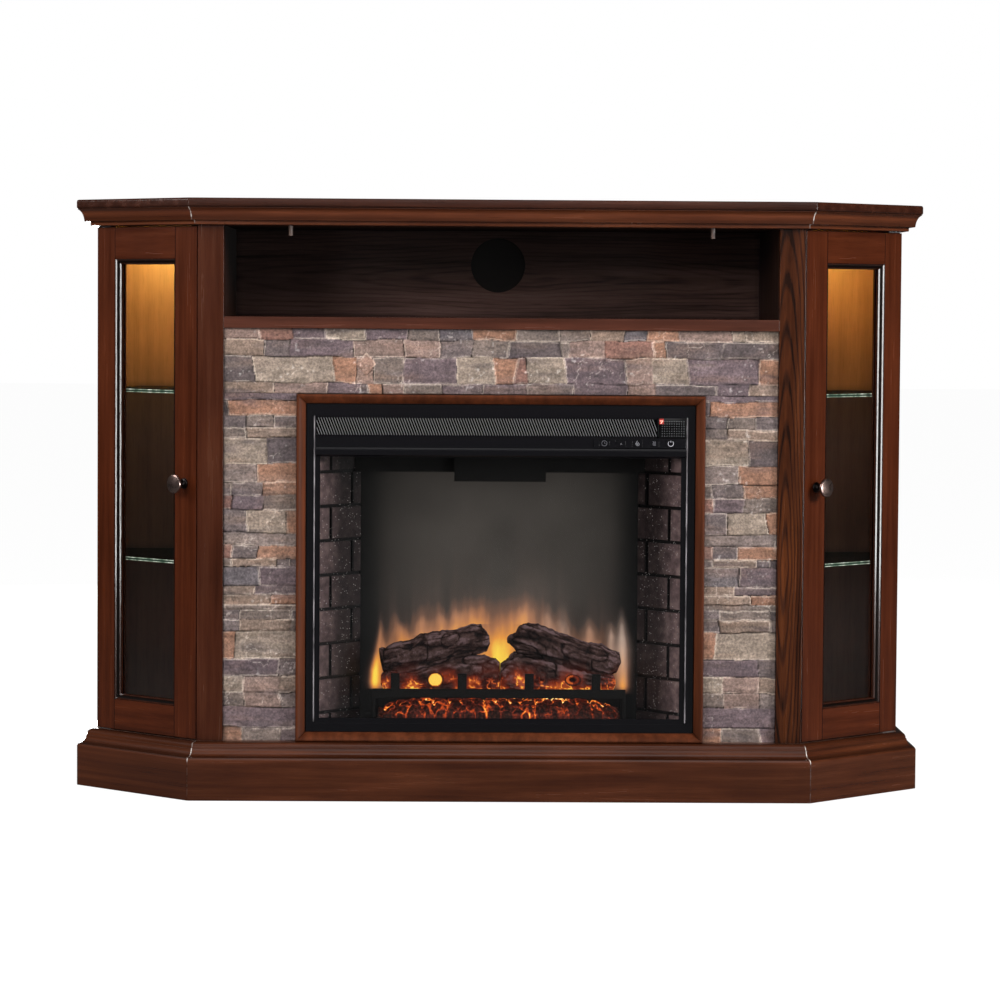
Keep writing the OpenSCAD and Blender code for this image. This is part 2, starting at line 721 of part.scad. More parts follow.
// Board behind the control strip: a switch for each button, a relay, a coil and four stand-offs
module circuit_board() {
    left = strip_left - 4;
    right = glass_half - 5;
    top_z = outlet_top_z + 5;
    color([0.1, 0.35, 0.2]) {
        box([left, right], [board_y, board_y + 1.6], [baffle_z + 4, top_z]);
        for (x = button_x)
            box([x - 3, x + 3], [switch_y, board_y + 0.5], [strip_mid_z - 3, strip_mid_z + 3]);
        for (x = [left + 4, right - 4], z = [baffle_z + 12, top_z - 3])
            translate([x, board_y + 0.5, z]) rotate([90, 0, 0])
                cylinder(r = 2.5, h = board_y - stone_y + 0.5, $fn = 32);
        box([left + 20, left + 38], [board_y + 1, board_y + 16], [outlet_top_z - 30, outlet_top_z - 15]);
        translate([left + 70, board_y + 1, outlet_top_z - 22]) rotate([-90, 0, 0])
            cylinder(r = 8, h = 18, $fn = 32);
    }
}

// ---- Flame chamber ----

module firebox_glass() {
    color([0.5, 0.5, 0.55, 0.3])
        box([3 - glass_half, glass_half - 3], [bezel_y + 6.2, stone_y - 0.2],
            [glass_bottom_z + 3, glass_top_z + 7.5]);
}

liner_t = 6;
liner_bottom_z = case_floor_z + seat_gap;
joint_w = 5;
joint_depth = 2.5;
first_joint_z = 131;

// Splayed side panel with brick courses; X runs from its front edge to the flame screen
module brick_liner() {
    run = flame_depth - 2;
    span = norm([splay, run]);
    h = baffle_z - seat_gap - liner_bottom_z;
    courses = ceil(h / course_h);
    color([0.35, 0.28, 0.28]) translate([splay + screen_half, stone_y + 1, liner_bottom_z])
        rotate([0, 0, 90 + atan2(splay, run)]) difference() {
            box([0, span], [-liner_t, 0], [0, h]);
            for (k = [0:courses]) {
                z = first_joint_z - liner_bottom_z + k * course_h;
                box([-1, span + 1], [-joint_depth, 1], [z - joint_w / 2, z + joint_w / 2]);
                at = span * (k % 2 == 0 ? 0.25 : 0.77);
                box([at - joint_w / 2, at + joint_w / 2], [-joint_depth, 1], [z - course_h, z]);
            }
        }
}

module brick_liners() both_sides() brick_liner();

// Floor of the heater space with the lip and hood that hide the lamp side of the flame screen
module heat_baffle() {
    hood = 71;
    lip_y = screen_y - 15;
    lip_half = screen_half + splay * 12 / flame_depth;
    color([0.1, 0.1, 0.1]) {
        box([sheet_t + seat_gap - case_half, case_half - sheet_t - seat_gap],
            [stone_y + 1, case_back_y - 1], [baffle_z, baffle_z + sheet_t]);
        box([-lip_half, lip_half], [lip_y, lip_y + sheet_t], [baffle_z - 26, baffle_z + 0.5]);
        difference() {
            box([-hood, hood], [lip_y - 12, lip_y + 1], [baffle_z - 40, baffle_z + 0.5]);
            box([sheet_t - hood, hood - sheet_t], [lip_y - 12 + sheet_t, lip_y + 2],
                [baffle_z - 41, baffle_z - sheet_t]);
        }
    }
}

module flame_screen() {
    color([0.35, 0.36, 0.33]) box([-screen_half, screen_half], [screen_y, screen_y + 3],
                                  [case_floor_z + seat_gap, baffle_z - seat_gap]);
}

// Logs: each ring has an upper and a lower lobe, as of one log that lies on another
log_y = screen_y - 38;
log_floor_z = case_floor_z + 46;
log_rings = 20;
log_sides = 16;
left_crest = [[-186, 218], [-183, 227], [-153, 237], [-137, 241], [-122, 251], [-83, 254], [-52, 257],
              [-36, 265], [-29, 266], [-22, 257], [-15, 250], [-11, 232], [-3, 208]];
right_crest = [[10, 206], [12, 246], [18, 252], [26, 262], [34, 268], [48, 266], [72, 257], [110, 251],
               [141, 240], [172, 229], [186, 220], [189, 206]];

module fire_log(crest, x0, x1, seed) {
    rings = [for (i = [0:log_rings]) let (
        s = i / log_rings,
        x = x0 + (x1 - x0) * s,
        top = lookup(x, crest),
        mid = (top + log_floor_z) / 2,
        tall = (top - log_floor_z) / 2,
        deep = 27 * (0.7 + 0.3 * sin(180 * s)) + 1.5 * sin(700 * s + seed))
        [for (k = [0:log_sides - 1]) let (
            a = k * 360 / log_sides,
            waist = 1 - 0.3 * exp(-pow(sin(a) / 0.35, 2)),
            bark = 1 + 0.05 * sin(4 * a + 500 * s + seed))
            [x, log_y + deep * waist * bark * cos(a), mid + tall * sin(a)]]];
    color([0.2, 0.15, 0.13]) loft(rings);
}

module log_left() fire_log(left_crest, -186, -3, 0);
module log_right() fire_log(right_crest, 10, 189, 140);

// Grate: a front bar with fingers, cross bars under the logs and a leg at each corner
module log_grate() {
    half = 195;
    front = stone_y + 4;
    rear = screen_y - 8;
    bar_z = log_floor_z - seat_gap - 5;
    fingers = [for (i = [0:3]) -160.5 + i * 103.4];
    color([0.08, 0.08, 0.08]) {
        box([-half, half], [front, front + 4], [bar_z - 1, bar_z + 13]);
        box([-half, half], [rear, rear + 4], [bar_z, bar_z + 5]);
        for (x = fingers) {
            box([x - 7, x + 7], [front, front + 4], [bar_z, bar_z + 37]);
            box([x - 4, x + 4], [front, rear + 1], [bar_z, bar_z + 5]);
        }
        for (x = [-half, half - 4], y = [front, rear])
            box([x, x + 4], [y, y + 4], [case_floor_z + seat_gap, bar_z + 1]);
    }
}

// Moulded ember bed: a low mound with lumps
module ember_bed() {
    half = 187;
    front = stone_y + 10;
    rear = screen_y - 12;
    steps = 44;
    across = 8;
    floor_z = case_floor_z + seat_gap;
    rings = [for (i = [0:steps]) let (
        x = -half + 2 * half * i / steps,
        end = 1 - pow(abs(x) / half, 6) * 0.55)
        concat([for (k = [0:across]) let (
                    t = k / across,
                    lump = 3 * sin(61 * i + 131 * k) + 2 * sin(173 * i - 77 * k))
                    [x, front + (rear - front) * t,
                     floor_z + end * (13 + 17 * pow(sin(90 * min(1, 1.5 * t)), 0.7)) + lump * end]],
               [[x, rear, floor_z], [x, front, floor_z]])];
    color([0.5, 0.15, 0.05]) loft(rings);
}

// ---- Flame works behind the screen ----

rotor_y = screen_y + 35;
rotor_z = case_floor_z + 36;
rotor_half = 178;
rotor_shaft_r = 2.5;
motor_r = 24;

module flame_rotor() {
    flags = 12;
    pitch = 2 * (rotor_half - 14) / flags;
    color("silver") translate([0, rotor_y, rotor_z]) {
        rotate([0, 90, 0]) translate([0, 0, -rotor_half - 10]) cylinder(r = rotor_shaft_r, h = 2 * rotor_half + 20);
        for (i = [0:flags - 1], k = [0:2])
            translate([14 - rotor_half + (i + 0.5) * pitch, 0, 0]) rotate([k * 120 + i * 35, 0, 0])
                rotate([0, 0, 14]) box([-10, 10], [-0.4, 0.4], [1, 21]);
    }
}

module rotor_bracket() {
    y = rotor_y;
    difference() {
        union() {
            box([0, 2], [y - 16, y + 16], [case_floor_z + seat_gap, rotor_z + 12]);
            box([0, 14], [y - 16, y + 16], [case_floor_z + seat_gap, case_floor_z + seat_gap + 2]);
            translate([-2, y, rotor_z]) rotate([0, 90, 0]) cylinder(r = 6, h = 6);
        }
        translate([-3, y, rotor_z]) rotate([0, 90, 0]) cylinder(r = rotor_shaft_r + run_clear, h = 8);
    }
}

module rotor_motor() {
    color("gray") {
        translate([-rotor_half - 6, 0, 0]) rotor_bracket();
        translate([rotor_half + 4, 0, 0]) {
            rotor_bracket();
            difference() {
                translate([1.5, rotor_y, rotor_z + 2]) rotate([0, 90, 0]) cylinder(r = motor_r, h = 18);
                translate([-3, rotor_y, rotor_z]) rotate([0, 90, 0])
                    cylinder(r = rotor_shaft_r + run_clear, h = 12);
            }
        }
    }
}

module led_board() {
    half = 170;
    y = screen_y + 5;
    color([0.1, 0.35, 0.2]) {
        box([-half, half], [y, y + 1.6], [case_floor_z + seat_gap, case_floor_z + 20]);
        for (i = [0:11]) translate([-half + 15.5 + i * 28, y + 1, case_floor_z + 12]) rotate([-90, 0, 0])
            cylinder(r = 2.5, h = 4, $fn = 24);
    }
}

// ---- Heater: crossflow wheel, its housing with the motor, and the element ----

fan_y = stone_y + 92;
fan_z = (baffle_z + case_top_z) / 2 + 2;
fan_half = 138;
fan_r = 23;
fan_shaft_r = 3;
blades = 20;

module fan_wheel() {
    color("silver") translate([0, fan_y, fan_z]) rotate([0, 90, 0]) {
        translate([0, 0, -fan_half - 20]) cylinder(r = fan_shaft_r, h = 2 * fan_half + 26);
        for (x = [-fan_half, -0.75, fan_half - 1.5]) translate([0, 0, x]) cylinder(r = fan_r, h = 1.5);
        for (i = [0:blades - 1]) rotate([0, 0, i * 360 / blades]) translate([fan_r - 3.4, 0, -fan_half + 0.5])
            rotate([0, 0, 35]) translate([-2.4, -0.4, 0]) cube([4.8, 0.8, 2 * fan_half - 1]);
    }
}

// Scroll round the back of the wheel, end plates with the bearings, motor on the left plate
module blower_housing() {
    inner = fan_r + 3;
    plate_x = fan_half + 3;
    foot_z = baffle_z + sheet_t;
    top_z = fan_z + inner + sheet_t;
    color([0.55, 0.55, 0.57]) difference() {
        union() {
            intersection() {
                translate([-plate_x, fan_y, fan_z]) rotate([0, 90, 0]) difference() {
                    cylinder(r = inner + sheet_t, h = 2 * plate_x);
                    translate([0, 0, -1]) cylinder(r = inner, h = 2 * plate_x + 2);
                }
                box([-plate_x, plate_x], [fan_y - 4, fan_y + inner + 4], [foot_z, top_z]);
            }
            for (x = [-plate_x - sheet_t, plate_x])
                box([x, x + sheet_t], [fan_y - inner - 4, fan_y + inner + sheet_t], [foot_z, top_z]);
            translate([-plate_x - 30, fan_y, fan_z]) rotate([0, 90, 0]) cylinder(r = 21, h = 30);
            translate([plate_x, fan_y, fan_z]) rotate([0, 90, 0]) cylinder(r = 7, h = 5);
        }
        translate([-plate_x - 20, fan_y, fan_z]) rotate([0, 90, 0])
            cylinder(r = fan_shaft_r + run_clear, h = 2 * plate_x + 40);
    }
}

// Mica ribs that hold six heater bars joined in a zigzag
module heating_element() {
    near = stone_y + 26;
    deep = 16;
    bars = 6;
    foot_z = baffle_z + sheet_t;
    first_z = foot_z + 16;
    pitch = 6.5;
    half = fan_half - 8;
    color([0.75, 0.7, 0.6]) {
        for (i = [0:3]) let (x = -half + i * (2 * half - 2) / 3)
            box([x, x + 2], [near, near + deep], [foot_z, first_z + bars * pitch - 2]);
        for (k = [0:bars - 1])
            box([-half - 3, half + 3], [near + deep / 2 - 1, near + deep / 2 + 1],
                [first_z + k * pitch, first_z + k * pitch + 1.2]);
        for (k = [0:bars - 2]) let (x = k % 2 == 0 ? half + 2 : -half - 3)
            box([x, x + 1], [near + deep / 2 - 1, near + deep / 2 + 1],
                [first_z + k * pitch + 0.6, first_z + (k + 1) * pitch + 0.6]);
    }
}

mantel_top();
crown_moulding();
top_panel();
base_moulding();
base_cleats();
deck_panel();
pilasters();
partitions();
side_panels();
bay_shelf();
bay_back();
cabinet_backs();
surround_board();
stone_header();
stone_leg_left();
stone_leg_right();
trim_frame();
bay_bolts();
left_door_frame();
left_door_glass();
left_glass_beads();
left_door_fittings();
right_door_frame();
right_door_glass();
right_glass_beads();
right_door_fittings();
door_pivots();
door_catches();
left_glass_shelves();
right_glass_shelves();
shelf_pins();
puck_lights();
puck_lenses();
insert_casing();
rear_cover();
insert_front();
outlet_grille();
display_window();
control_panel();
timer_button();
dimmer_button();
flame_button();
heat_button();
power_button();
firebox_glass();
brick_liners();
heat_baffle();
flame_screen();
log_left();
log_right();
log_grate();
ember_bed();
flame_rotor();
rotor_motor();
led_board();
fan_wheel();
blower_housing();
heating_element();
circuit_board();
cord_gland();
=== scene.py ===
import math
from functools import partial

import bmesh
import bpy
import numpy as np
from mathutils import Matrix, Vector


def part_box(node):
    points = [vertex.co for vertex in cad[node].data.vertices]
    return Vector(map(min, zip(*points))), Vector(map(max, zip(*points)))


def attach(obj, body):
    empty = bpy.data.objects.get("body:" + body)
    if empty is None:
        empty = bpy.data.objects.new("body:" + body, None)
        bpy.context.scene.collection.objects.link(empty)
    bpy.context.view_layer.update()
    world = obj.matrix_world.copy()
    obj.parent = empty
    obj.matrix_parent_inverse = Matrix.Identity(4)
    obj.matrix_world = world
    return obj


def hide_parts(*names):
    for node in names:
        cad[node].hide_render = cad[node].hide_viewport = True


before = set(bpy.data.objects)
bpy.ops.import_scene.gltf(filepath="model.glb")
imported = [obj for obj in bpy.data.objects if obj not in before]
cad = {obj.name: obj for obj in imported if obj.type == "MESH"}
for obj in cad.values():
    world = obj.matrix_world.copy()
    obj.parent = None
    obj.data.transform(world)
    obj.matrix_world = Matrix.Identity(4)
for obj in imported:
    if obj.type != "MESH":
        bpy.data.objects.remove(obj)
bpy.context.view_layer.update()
print("frame loaded with", len(cad), "parts")


def linear(code):
    values = [int(code[i:i + 2], 16) / 255 for i in (0, 2, 4)]
    return [v / 12.92 if v <= 0.04045 else ((v + 0.055) / 1.055) ** 2.4 for v in values] + [1.0]


def feed(node, inputs):
    # inputs are one link, a run of values from the first on, or values by their input; a node
    # or socket is linked, and any other value is set
    if isinstance(inputs, (bpy.types.Node, bpy.types.NodeSocket)):
        inputs = [inputs]
    if not isinstance(inputs, dict):
        inputs = dict(enumerate(inputs))
    for name, value in inputs.items():
        if isinstance(value, bpy.types.Node):
            value = value.outputs[0]
        if isinstance(value, bpy.types.NodeSocket):
            node.id_data.links.new(value, node.inputs[name])
        else:
            node.inputs[name].default_value = value


def addNode(tree, kind, inputs=None, stops=(), **settings):
    # a shader node's kind goes without its "ShaderNode"
    made = tree.nodes.new(kind if "Node" in kind else "ShaderNode" + kind)
    for name, value in settings.items():
        setattr(made, name, value)
    feed(made, inputs or {})
    if stops:
        while len(made.color_ramp.elements) < len(stops):
            made.color_ramp.elements.new(0.5)
        for element, (place, code) in zip(made.color_ramp.elements, stops):
            element.position = place
            element.color = linear(code)
    return made


def newMaterial(name, code=None, **settings):
    # gives the material, addNode for its tree, its shader and the place on the piece
    made = bpy.data.materials.new(name)
    made.use_nodes = True
    add = partial(addNode, made.node_tree)
    shader = made.node_tree.nodes["Principled BSDF"]
    feed(shader, settings)
    if code:
        shader.inputs["Base Color"].default_value = linear(code)
    return made, add, shader, add("TexCoord").outputs["Object"]


def dull(material, level):
    # how strongly the surface shines: 0.5 is a bare lacquer or plastic
    material.node_tree.nodes["Principled BSDF"].inputs["Specular IOR Level"].default_value = level
    return material


def wave(points, size, seed):
    # smooth random values from -1 to 1 at points (n, 3), with features of the given size in metres
    grid = np.asarray(points, float) / size + seed * 17.31
    low = np.floor(grid).astype(np.int64)
    part = grid - low
    part = part * part * (3 - 2 * part)
    total = np.zeros(len(grid))
    for corner in range(8):
        step = np.array([corner & 1, corner >> 1 & 1, corner >> 2 & 1])
        cell = low + step
        key = (cell[:, 0] * 73856093) ^ (cell[:, 1] * 19349663) ^ (cell[:, 2] * 83492791)
        key = (key ^ (key >> 13)) * 1274126177 & 0x7FFFFFFF
        key = (key ^ (key >> 11)) * 668265263 & 0x7FFFFFFF
        weight = np.prod(np.where(step, part, 1 - part), axis=1)
        total += weight * (key % 100003) / 50001.5
    return total - 1


def layered(points, size, seed, layers=3):
    total = np.zeros(len(points))
    for k in range(layers):
        total += wave(points, size / 2 ** k, seed + k) / 2 ** k
    return total / 1.6


def smooth(low, high, value):
    t = np.clip((value - low) / (high - low), 0, 1)
    return t * t * (3 - 2 * t)


def toScene(name, data):
    made = bpy.data.objects.new(name, data)
    bpy.context.scene.collection.objects.link(made)
    return made


def settle(piece, body, node=None):
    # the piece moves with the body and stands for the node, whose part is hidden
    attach(piece, body)
    if node:
        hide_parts(node)


def meshPiece(name, points, faces, material, softShade=True):
    mesh = bpy.data.meshes.new(name)
    mesh.from_pydata([tuple(p) for p in points], [], [tuple(f) for f in faces])
    mesh.materials.append(material)
    mesh.polygons.foreach_set("use_smooth", [softShade] * len(mesh.polygons))
    mesh.update()
    return toScene(name, mesh)


def gridFaces(rows, columns, start=0, closed=False):
    faces = []
    for r in range(rows - 1):
        for c in range(columns if closed else columns - 1):
            d = (c + 1) % columns
            faces.append((start + r * columns + c, start + r * columns + d,
                          start + (r + 1) * columns + d, start + (r + 1) * columns + c))
    return faces


def meshGrid(low, high, rows, columns, span=(0, 1)):
    return [v.ravel() for v in np.meshgrid(np.linspace(low, high, columns), np.linspace(*span, rows))]


def closedSheet(name, points, rows, columns, axis, level, material, softShade=True):
    # a grid of points whose border is drawn back to a flat rear at the level on the axis
    border = [*range(columns), *(r * columns + columns - 1 for r in range(1, rows)),
              *((rows - 1) * columns + c for c in range(columns - 2, -1, -1)),
              *(r * columns for r in range(rows - 2, 0, -1))]
    back = points[border].copy()
    back[:, axis] = level
    start, n = len(points), len(border)
    faces = gridFaces(rows, columns)
    faces += [(border[i], start + i, start + (i + 1) % n, border[(i + 1) % n]) for i in range(n)]
    faces.append(tuple(start + i for i in range(n)))
    return meshPiece(name, np.concatenate([points, back]), faces, material, softShade), border


def storeColour(piece, name, colours):
    layer = piece.data.attributes.new(name, "FLOAT_COLOR", "POINT")
    full = np.ones((len(colours), 4))
    full[:, :3] = colours
    layer.data.foreach_set("color", full.ravel())


def storeValue(piece, name, values):
    layer = piece.data.attributes.new(name, "FLOAT", "POINT")
    layer.data.foreach_set("value", np.asarray(values, float))


def dress(material, *names):
    for name in names:
        slots = cad[name].data.materials
        slots.clear()
        slots.append(material)
        for face in cad[name].data.polygons:
            face.material_index = 0


def keep(piece):
    # the modifiers' result becomes the piece's own mesh
    made = bpy.data.meshes.new_from_object(piece.evaluated_get(bpy.context.evaluated_depsgraph_get()))
    made.name = piece.name
    piece.modifiers.clear()
    piece.data = made


def ease(material, *names, slot=None, body="cabinet", width=0.0006, flat=32):
    # a merged copy of each part with its edges eased, as sanding or a press leaves them
    pieces = []
    for name in names:
        work = bmesh.new()
        work.from_mesh(cad[name].data)
        bmesh.ops.remove_doubles(work, verts=work.verts, dist=1e-6)
        bmesh.ops.dissolve_limit(work, angle_limit=math.radians(0.6), verts=work.verts, edges=work.edges)
        if width:
            sharp = [e for e in work.edges if len(e.link_faces) == 2 and e.calc_face_angle() > math.radians(38)]
            bmesh.ops.bevel(work, geom=sharp, offset=width, segments=2, profile=0.5, affect="EDGES", clamp_overlap=True)
        words = name.split("_")
        mesh = bpy.data.meshes.new(words[0] + "".join(w.title() for w in words[1:]))
        work.to_mesh(mesh)
        work.free()
        mesh.materials.clear()
        mesh.materials.append(material)
        mesh.polygons.foreach_set("material_index", [0] * len(mesh.polygons))
        mesh.shade_smooth()
        mesh.set_sharp_from_angle(angle=math.radians(flat))
        piece = toScene(mesh.name, mesh)
        level = piece.modifiers.new("flatFaces", "WEIGHTED_NORMAL")  # the wide faces stay flat to the eye
        level.keep_sharp = True
        keep(piece)
        settle(piece, body, name)
        pieces.append(piece)
    return pieces


# the photograph's camera, in metres, degrees and millimetres
view = {
    "place": (-0.10685, -5.91792, 0.76606), "yaw": 1.0536, "down": 3.0297, "roll": -0.3951,
    "lens": 135.255, "sensor": 36, "far": 60,
}


def makeCamera():
    yaw, down, roll = (math.radians(view[k]) for k in ("yaw", "down", "roll"))
    ahead = Vector((math.sin(yaw) * math.cos(down), math.cos(yaw) * math.cos(down), -math.sin(down)))
    level = Vector((math.cos(yaw), -math.sin(yaw), 0))
    above = level.cross(ahead)
    side = level * math.cos(roll) - above * math.sin(roll)
    top = level * math.sin(roll) + above * math.cos(roll)
    data = bpy.data.cameras.new("photoCamera")
    data.lens = view["lens"]
    data.sensor_width = view["sensor"]
    data.clip_end = view["far"]
    eye = toScene("photoCamera", data)
    turn = Matrix((side, top, -ahead)).transposed().to_4x4()
    eye.matrix_world = Matrix.Translation(view["place"]) @ turn
    bpy.context.scene.camera = eye


makeCamera()
bpy.context.scene.view_settings.view_transform = "Standard"
print("camera set")


# stained wood
mantel = {
    "frontHalf": 0.465,       # half the front's width, where the corners begin
    "frontY": -0.169,
    "cornerY": -0.0015,       # where the angled corners end
    "bodyHalf": 0.6325,
    "mitre": 0.4142,          # slope of the mitre in an angled corner, 22.5 degrees
    "rail": (0.114, 0.0712),  # middle and half length of a door's rails, along the door
    "glass": (0.483, 0.345),  # middle and half height of a door's glass
    "bayHalf": 0.4256,
}


def grainSpace(add, where, run):
    # the place measured along the grain (X) and across it (Y and Z)
    x, y, z = add("SeparateXYZ", where).outputs
    if run == "upright":
        return add("CombineXYZ", (z, x, y)), None
    if run == "level":
        return where, None
    width = add("Math", x, operation="ABSOLUTE")
    if run == "round":
        # along the front, then along the angled corner, then along the side
        corner = add("Math", (width, mantel["frontHalf"]), operation="SUBTRACT")
        corner = add("Math", (corner, 0), operation="MAXIMUM")
        flank = add("Math", (y, mantel["cornerY"]), operation="SUBTRACT")
        flank = add("Math", (flank, 0), operation="MAXIMUM")
        along = add("Math", (corner, mantel["mitre"], x), operation="MULTIPLY_ADD")
        along = add("Math", (along, flank), operation="ADD")
        return add("CombineXYZ", (along, 0.3, z)), None
    # doors: upright on the stiles and level on the rails between them
    out = add("Math", (width, y), operation="ADD")
    face = add("Math", (mantel["bodyHalf"] + mantel["cornerY"], out), operation="SUBTRACT")
    face = add("Math", (face, math.sqrt(0.5)), operation="MULTIPLY")
    middle = add("Math", (face, mantel["rail"][0], mantel["rail"][1]), operation="COMPARE")
    level = add("Math", (z, mantel["glass"][0], mantel["glass"][1]), operation="COMPARE")
    middle = add("Math", (middle, level), operation="SUBTRACT", use_clamp=True)
    stile = add("CombineXYZ", (z, face, 0.2))
    rail = add("CombineXYZ", (face, z, 0.7))
    return add("Mix", {0: middle, 4: stile, 5: rail}, data_type="VECTOR").outputs[1], face


# painted highlight and shade up the mouldings, by height: pale bands where the crests would catch the light, dark lines
# where the quirks would be in shade
paintedBandLight = [
    (0.0, "bcbcbc"), (0.058, "bcbcbc"), (0.0622, "cfcfcf"), (0.0642, "f3f3f3"), (0.0660, "6c6c6c"),
    (0.0685, "a6a6a6"), (0.074, "d2d2d2"), (0.0785, "a0a0a0"), (0.0800, "646464"), (0.0822, "c4c4c4"),
    (0.0865, "b0b0b0"), (0.0892, "505050"), (0.10, "bcbcbc"), (0.872, "505050"), (0.8790, "a8a8a8"),
    (0.8805, "f4f4f4"), (0.8845, "ffffff"), (0.8862, "e4e4e4"), (0.8872, "4c4c4c"), (0.8895, "acacac"),
    (0.895, "e0e0e0"), (0.8995, "ffffff"), (0.9030, "d0d0d0"), (0.9052, "565656"), (0.9070, "b4b4b4"),
    (0.914, "bcbcbc"), (0.9182, "cacaca"), (0.9198, "f0f0f0")]
# how bright the painted glint down the mitres is, by height
paintedMitreGlint = [
    (0.0, "303030"), (0.060, "383838"), (0.063, "ffffff"), (0.083, "ffffff"), (0.087, "202020"),
    (0.882, "505050"), (0.888, "ffffff"), (0.917, "ffffff"), (0.9195, "202020")]


def makeWood(name, run, dark, middle, light, shine=0.23, arches=None, pores=0.5, worn=False):
    # espresso-stained oak veneer under satin lacquer: long soft streaks, fine dark pores, and
    # nested arches where the board was cut flat through the rings
    material, add, shader, where = newMaterial(name, IOR=1.5)
    space, face = grainSpace(add, where, run)
    streaks = add("Mapping", {0: space, "Scale": (3.5, 80, 80)})
    streak = add("TexNoise", {"Vector": streaks, "Scale": 1.0, "Detail": 5.0, "Roughness": 0.6})
    poreSpace = add("Mapping", {0: space, "Scale": (40, 900, 900)})
    pore = add("TexNoise", {"Vector": poreSpace, "Scale": 1.0, "Detail": 2.0})
    blotch = add("TexNoise", {"Vector": space, "Scale": 7.0, "Detail": 3.0})
    tone = add("Math", (streak, 1.15, -0.075), operation="MULTIPLY_ADD")
    if arches:
        # distance from a pith that the cut drifts away from along the board
        split = add("SeparateXYZ", space)
        across = add("Math", split.outputs[arches["across"]], operation="ABSOLUTE")
        across = add("Math", (across, arches["centre"]), operation="SUBTRACT")
        bend = add("Mapping", {0: space, "Scale": (6, 22, 22)})
        bend = add("TexNoise", {"Vector": bend, "Scale": 1.0, "Detail": 2.5})
        across = add("Math", (bend, arches["sway"], across), operation="MULTIPLY_ADD")
        deep = add("Math", (split.outputs[0], arches["tip"]), operation="SUBTRACT")
        deep = add("Math", deep, operation="ABSOLUTE")
        deep = add("Math", (deep, arches["rise"], 0.004), operation="MULTIPLY_ADD")
        across = add("Math", (across, 2.0), operation="POWER")
        deep = add("Math", (deep, 2.0), operation="POWER")
        ring = add("Math", (across, deep), operation="ADD")
        ring = add("Math", ring, operation="SQRT")
        ring = add("Math", (ring, 2 * math.pi / arches["ring"]), operation="MULTIPLY")
        ring = add("Math", ring, operation="SINE")
        ring = add("MapRange", (ring, -1.0, -0.1, -arches["depth"], 0.0))
        tone = add("Math", (tone, ring), operation="ADD")
    colour = add("ValToRGB", {"Fac": tone}, [(0.15, dark), (0.5, middle), (0.9, light)])
    mottle = add("MapRange", (blotch, 0.3, 0.7, 0.82, 1.12))
    fleck = add("MapRange", (pore, 0.3, 0.48, 1 - 0.35 * pores, 1.0))
    both = add("Math", (mottle, fleck), operation="MULTIPLY")
    if run == "door":
        # stain gathers where a rail meets its stile
        seam = add("Math", (face, mantel["rail"][0]), operation="SUBTRACT")
        seam = add("Math", seam, operation="ABSOLUTE")
        seam = add("Math", (seam, mantel["rail"][1]), operation="SUBTRACT")
        seam = add("Math", seam, operation="ABSOLUTE")
        seam = add("MapRange", (seam, 0.0004, 0.0012, 0.35, 1.0))
        both = add("Math", (both, seam), operation="MULTIPLY")
    x, y, z = add("SeparateXYZ", where).outputs
    if run == "round" or worn:
        # painted highlights and shade lines, by height
        thin = add("ValToRGB", {"Fac": z}, paintedBandLight)
        both = add("Math", (both, thin), operation="MULTIPLY")
        both = add("Math", (both, 2.0), operation="MULTIPLY")
    else:
        # painted shade: darker where pieces meet, from ambient occlusion
        nook = add("AmbientOcclusion", {"Distance": 0.012}, samples=4)
        nook = add("MapRange", (nook.outputs["AO"], 0.35, 0.9, 0.4, 1.0))
        both = add("Math", (both, nook), operation="MULTIPLY")
    tinted = add("Mix", {0: 1.0, 6: colour, 7: both}, data_type="RGBA", blend_type="MULTIPLY")
    if run == "round":
        # painted glints: a pale line down the mitres between the front and the angled corners
        corner = mantel["frontHalf"] + mantel["mitre"] * mantel["frontY"]
        off = add("Math", x, operation="ABSOLUTE")
        off = add("Math", (y, mantel["mitre"], off), operation="MULTIPLY_ADD")
        off = add("Math", (off, corner), operation="SUBTRACT")
        off = add("Math", off, operation="ABSOLUTE")
        line = add("MapRange", (off, 0.0009, 0.0006))
        glintBreaks = add("TexNoise", {"Vector": add("CombineXYZ", {0: x, 2: z}), "Scale": 140.0})
        glintBreaks = add("MapRange", (glintBreaks, 0.44, 0.5, 0.12, 1.0))
        amount = add("ValToRGB", {"Fac": z}, paintedMitreGlint)
        amount = add("Math", (amount, glintBreaks), operation="MULTIPLY")
        line = add("Math", (line, amount), operation="MULTIPLY")
        tinted = add("Mix", {0: line, 6: tinted.outputs[2], 7: linear("f4ece4")}, data_type="RGBA")
    gloss = add("MapRange", (streak, 0.3, 0.7, shine - 0.04, shine + 0.06))
    bump = add("Bump", {"Strength": 0.12, "Distance": 0.0004, "Height": pore})
    feed(shader, {"Base Color": tinted.outputs[2], "Roughness": gloss, "Normal": bump})
    return material


def makePartitionWood():
    # the bay side of each partition is stained dark, and the cabinet side is the warm lining
    made = makeWood("partitionFaces", "upright", "7a5648", "8a6455", "9a7060", 0.45)
    add = partial(addNode, made.node_tree)
    shader = made.node_tree.nodes["Principled BSDF"]
    lining = shader.inputs["Base Color"].links[0].from_socket
    x = add("SeparateXYZ", add("TexCoord").outputs["Object"]).outputs[0]
    x = add("Math", x, operation="ABSOLUTE")
    bay = add("Math", (x, mantel["bayHalf"]), operation="LESS_THAN")
    dark = add("Mix", {0: bay, 6: lining, 7: linear("2a1710")}, data_type="RGBA")
    feed(shader, {"Base Color": dark.outputs[2]})
    return made


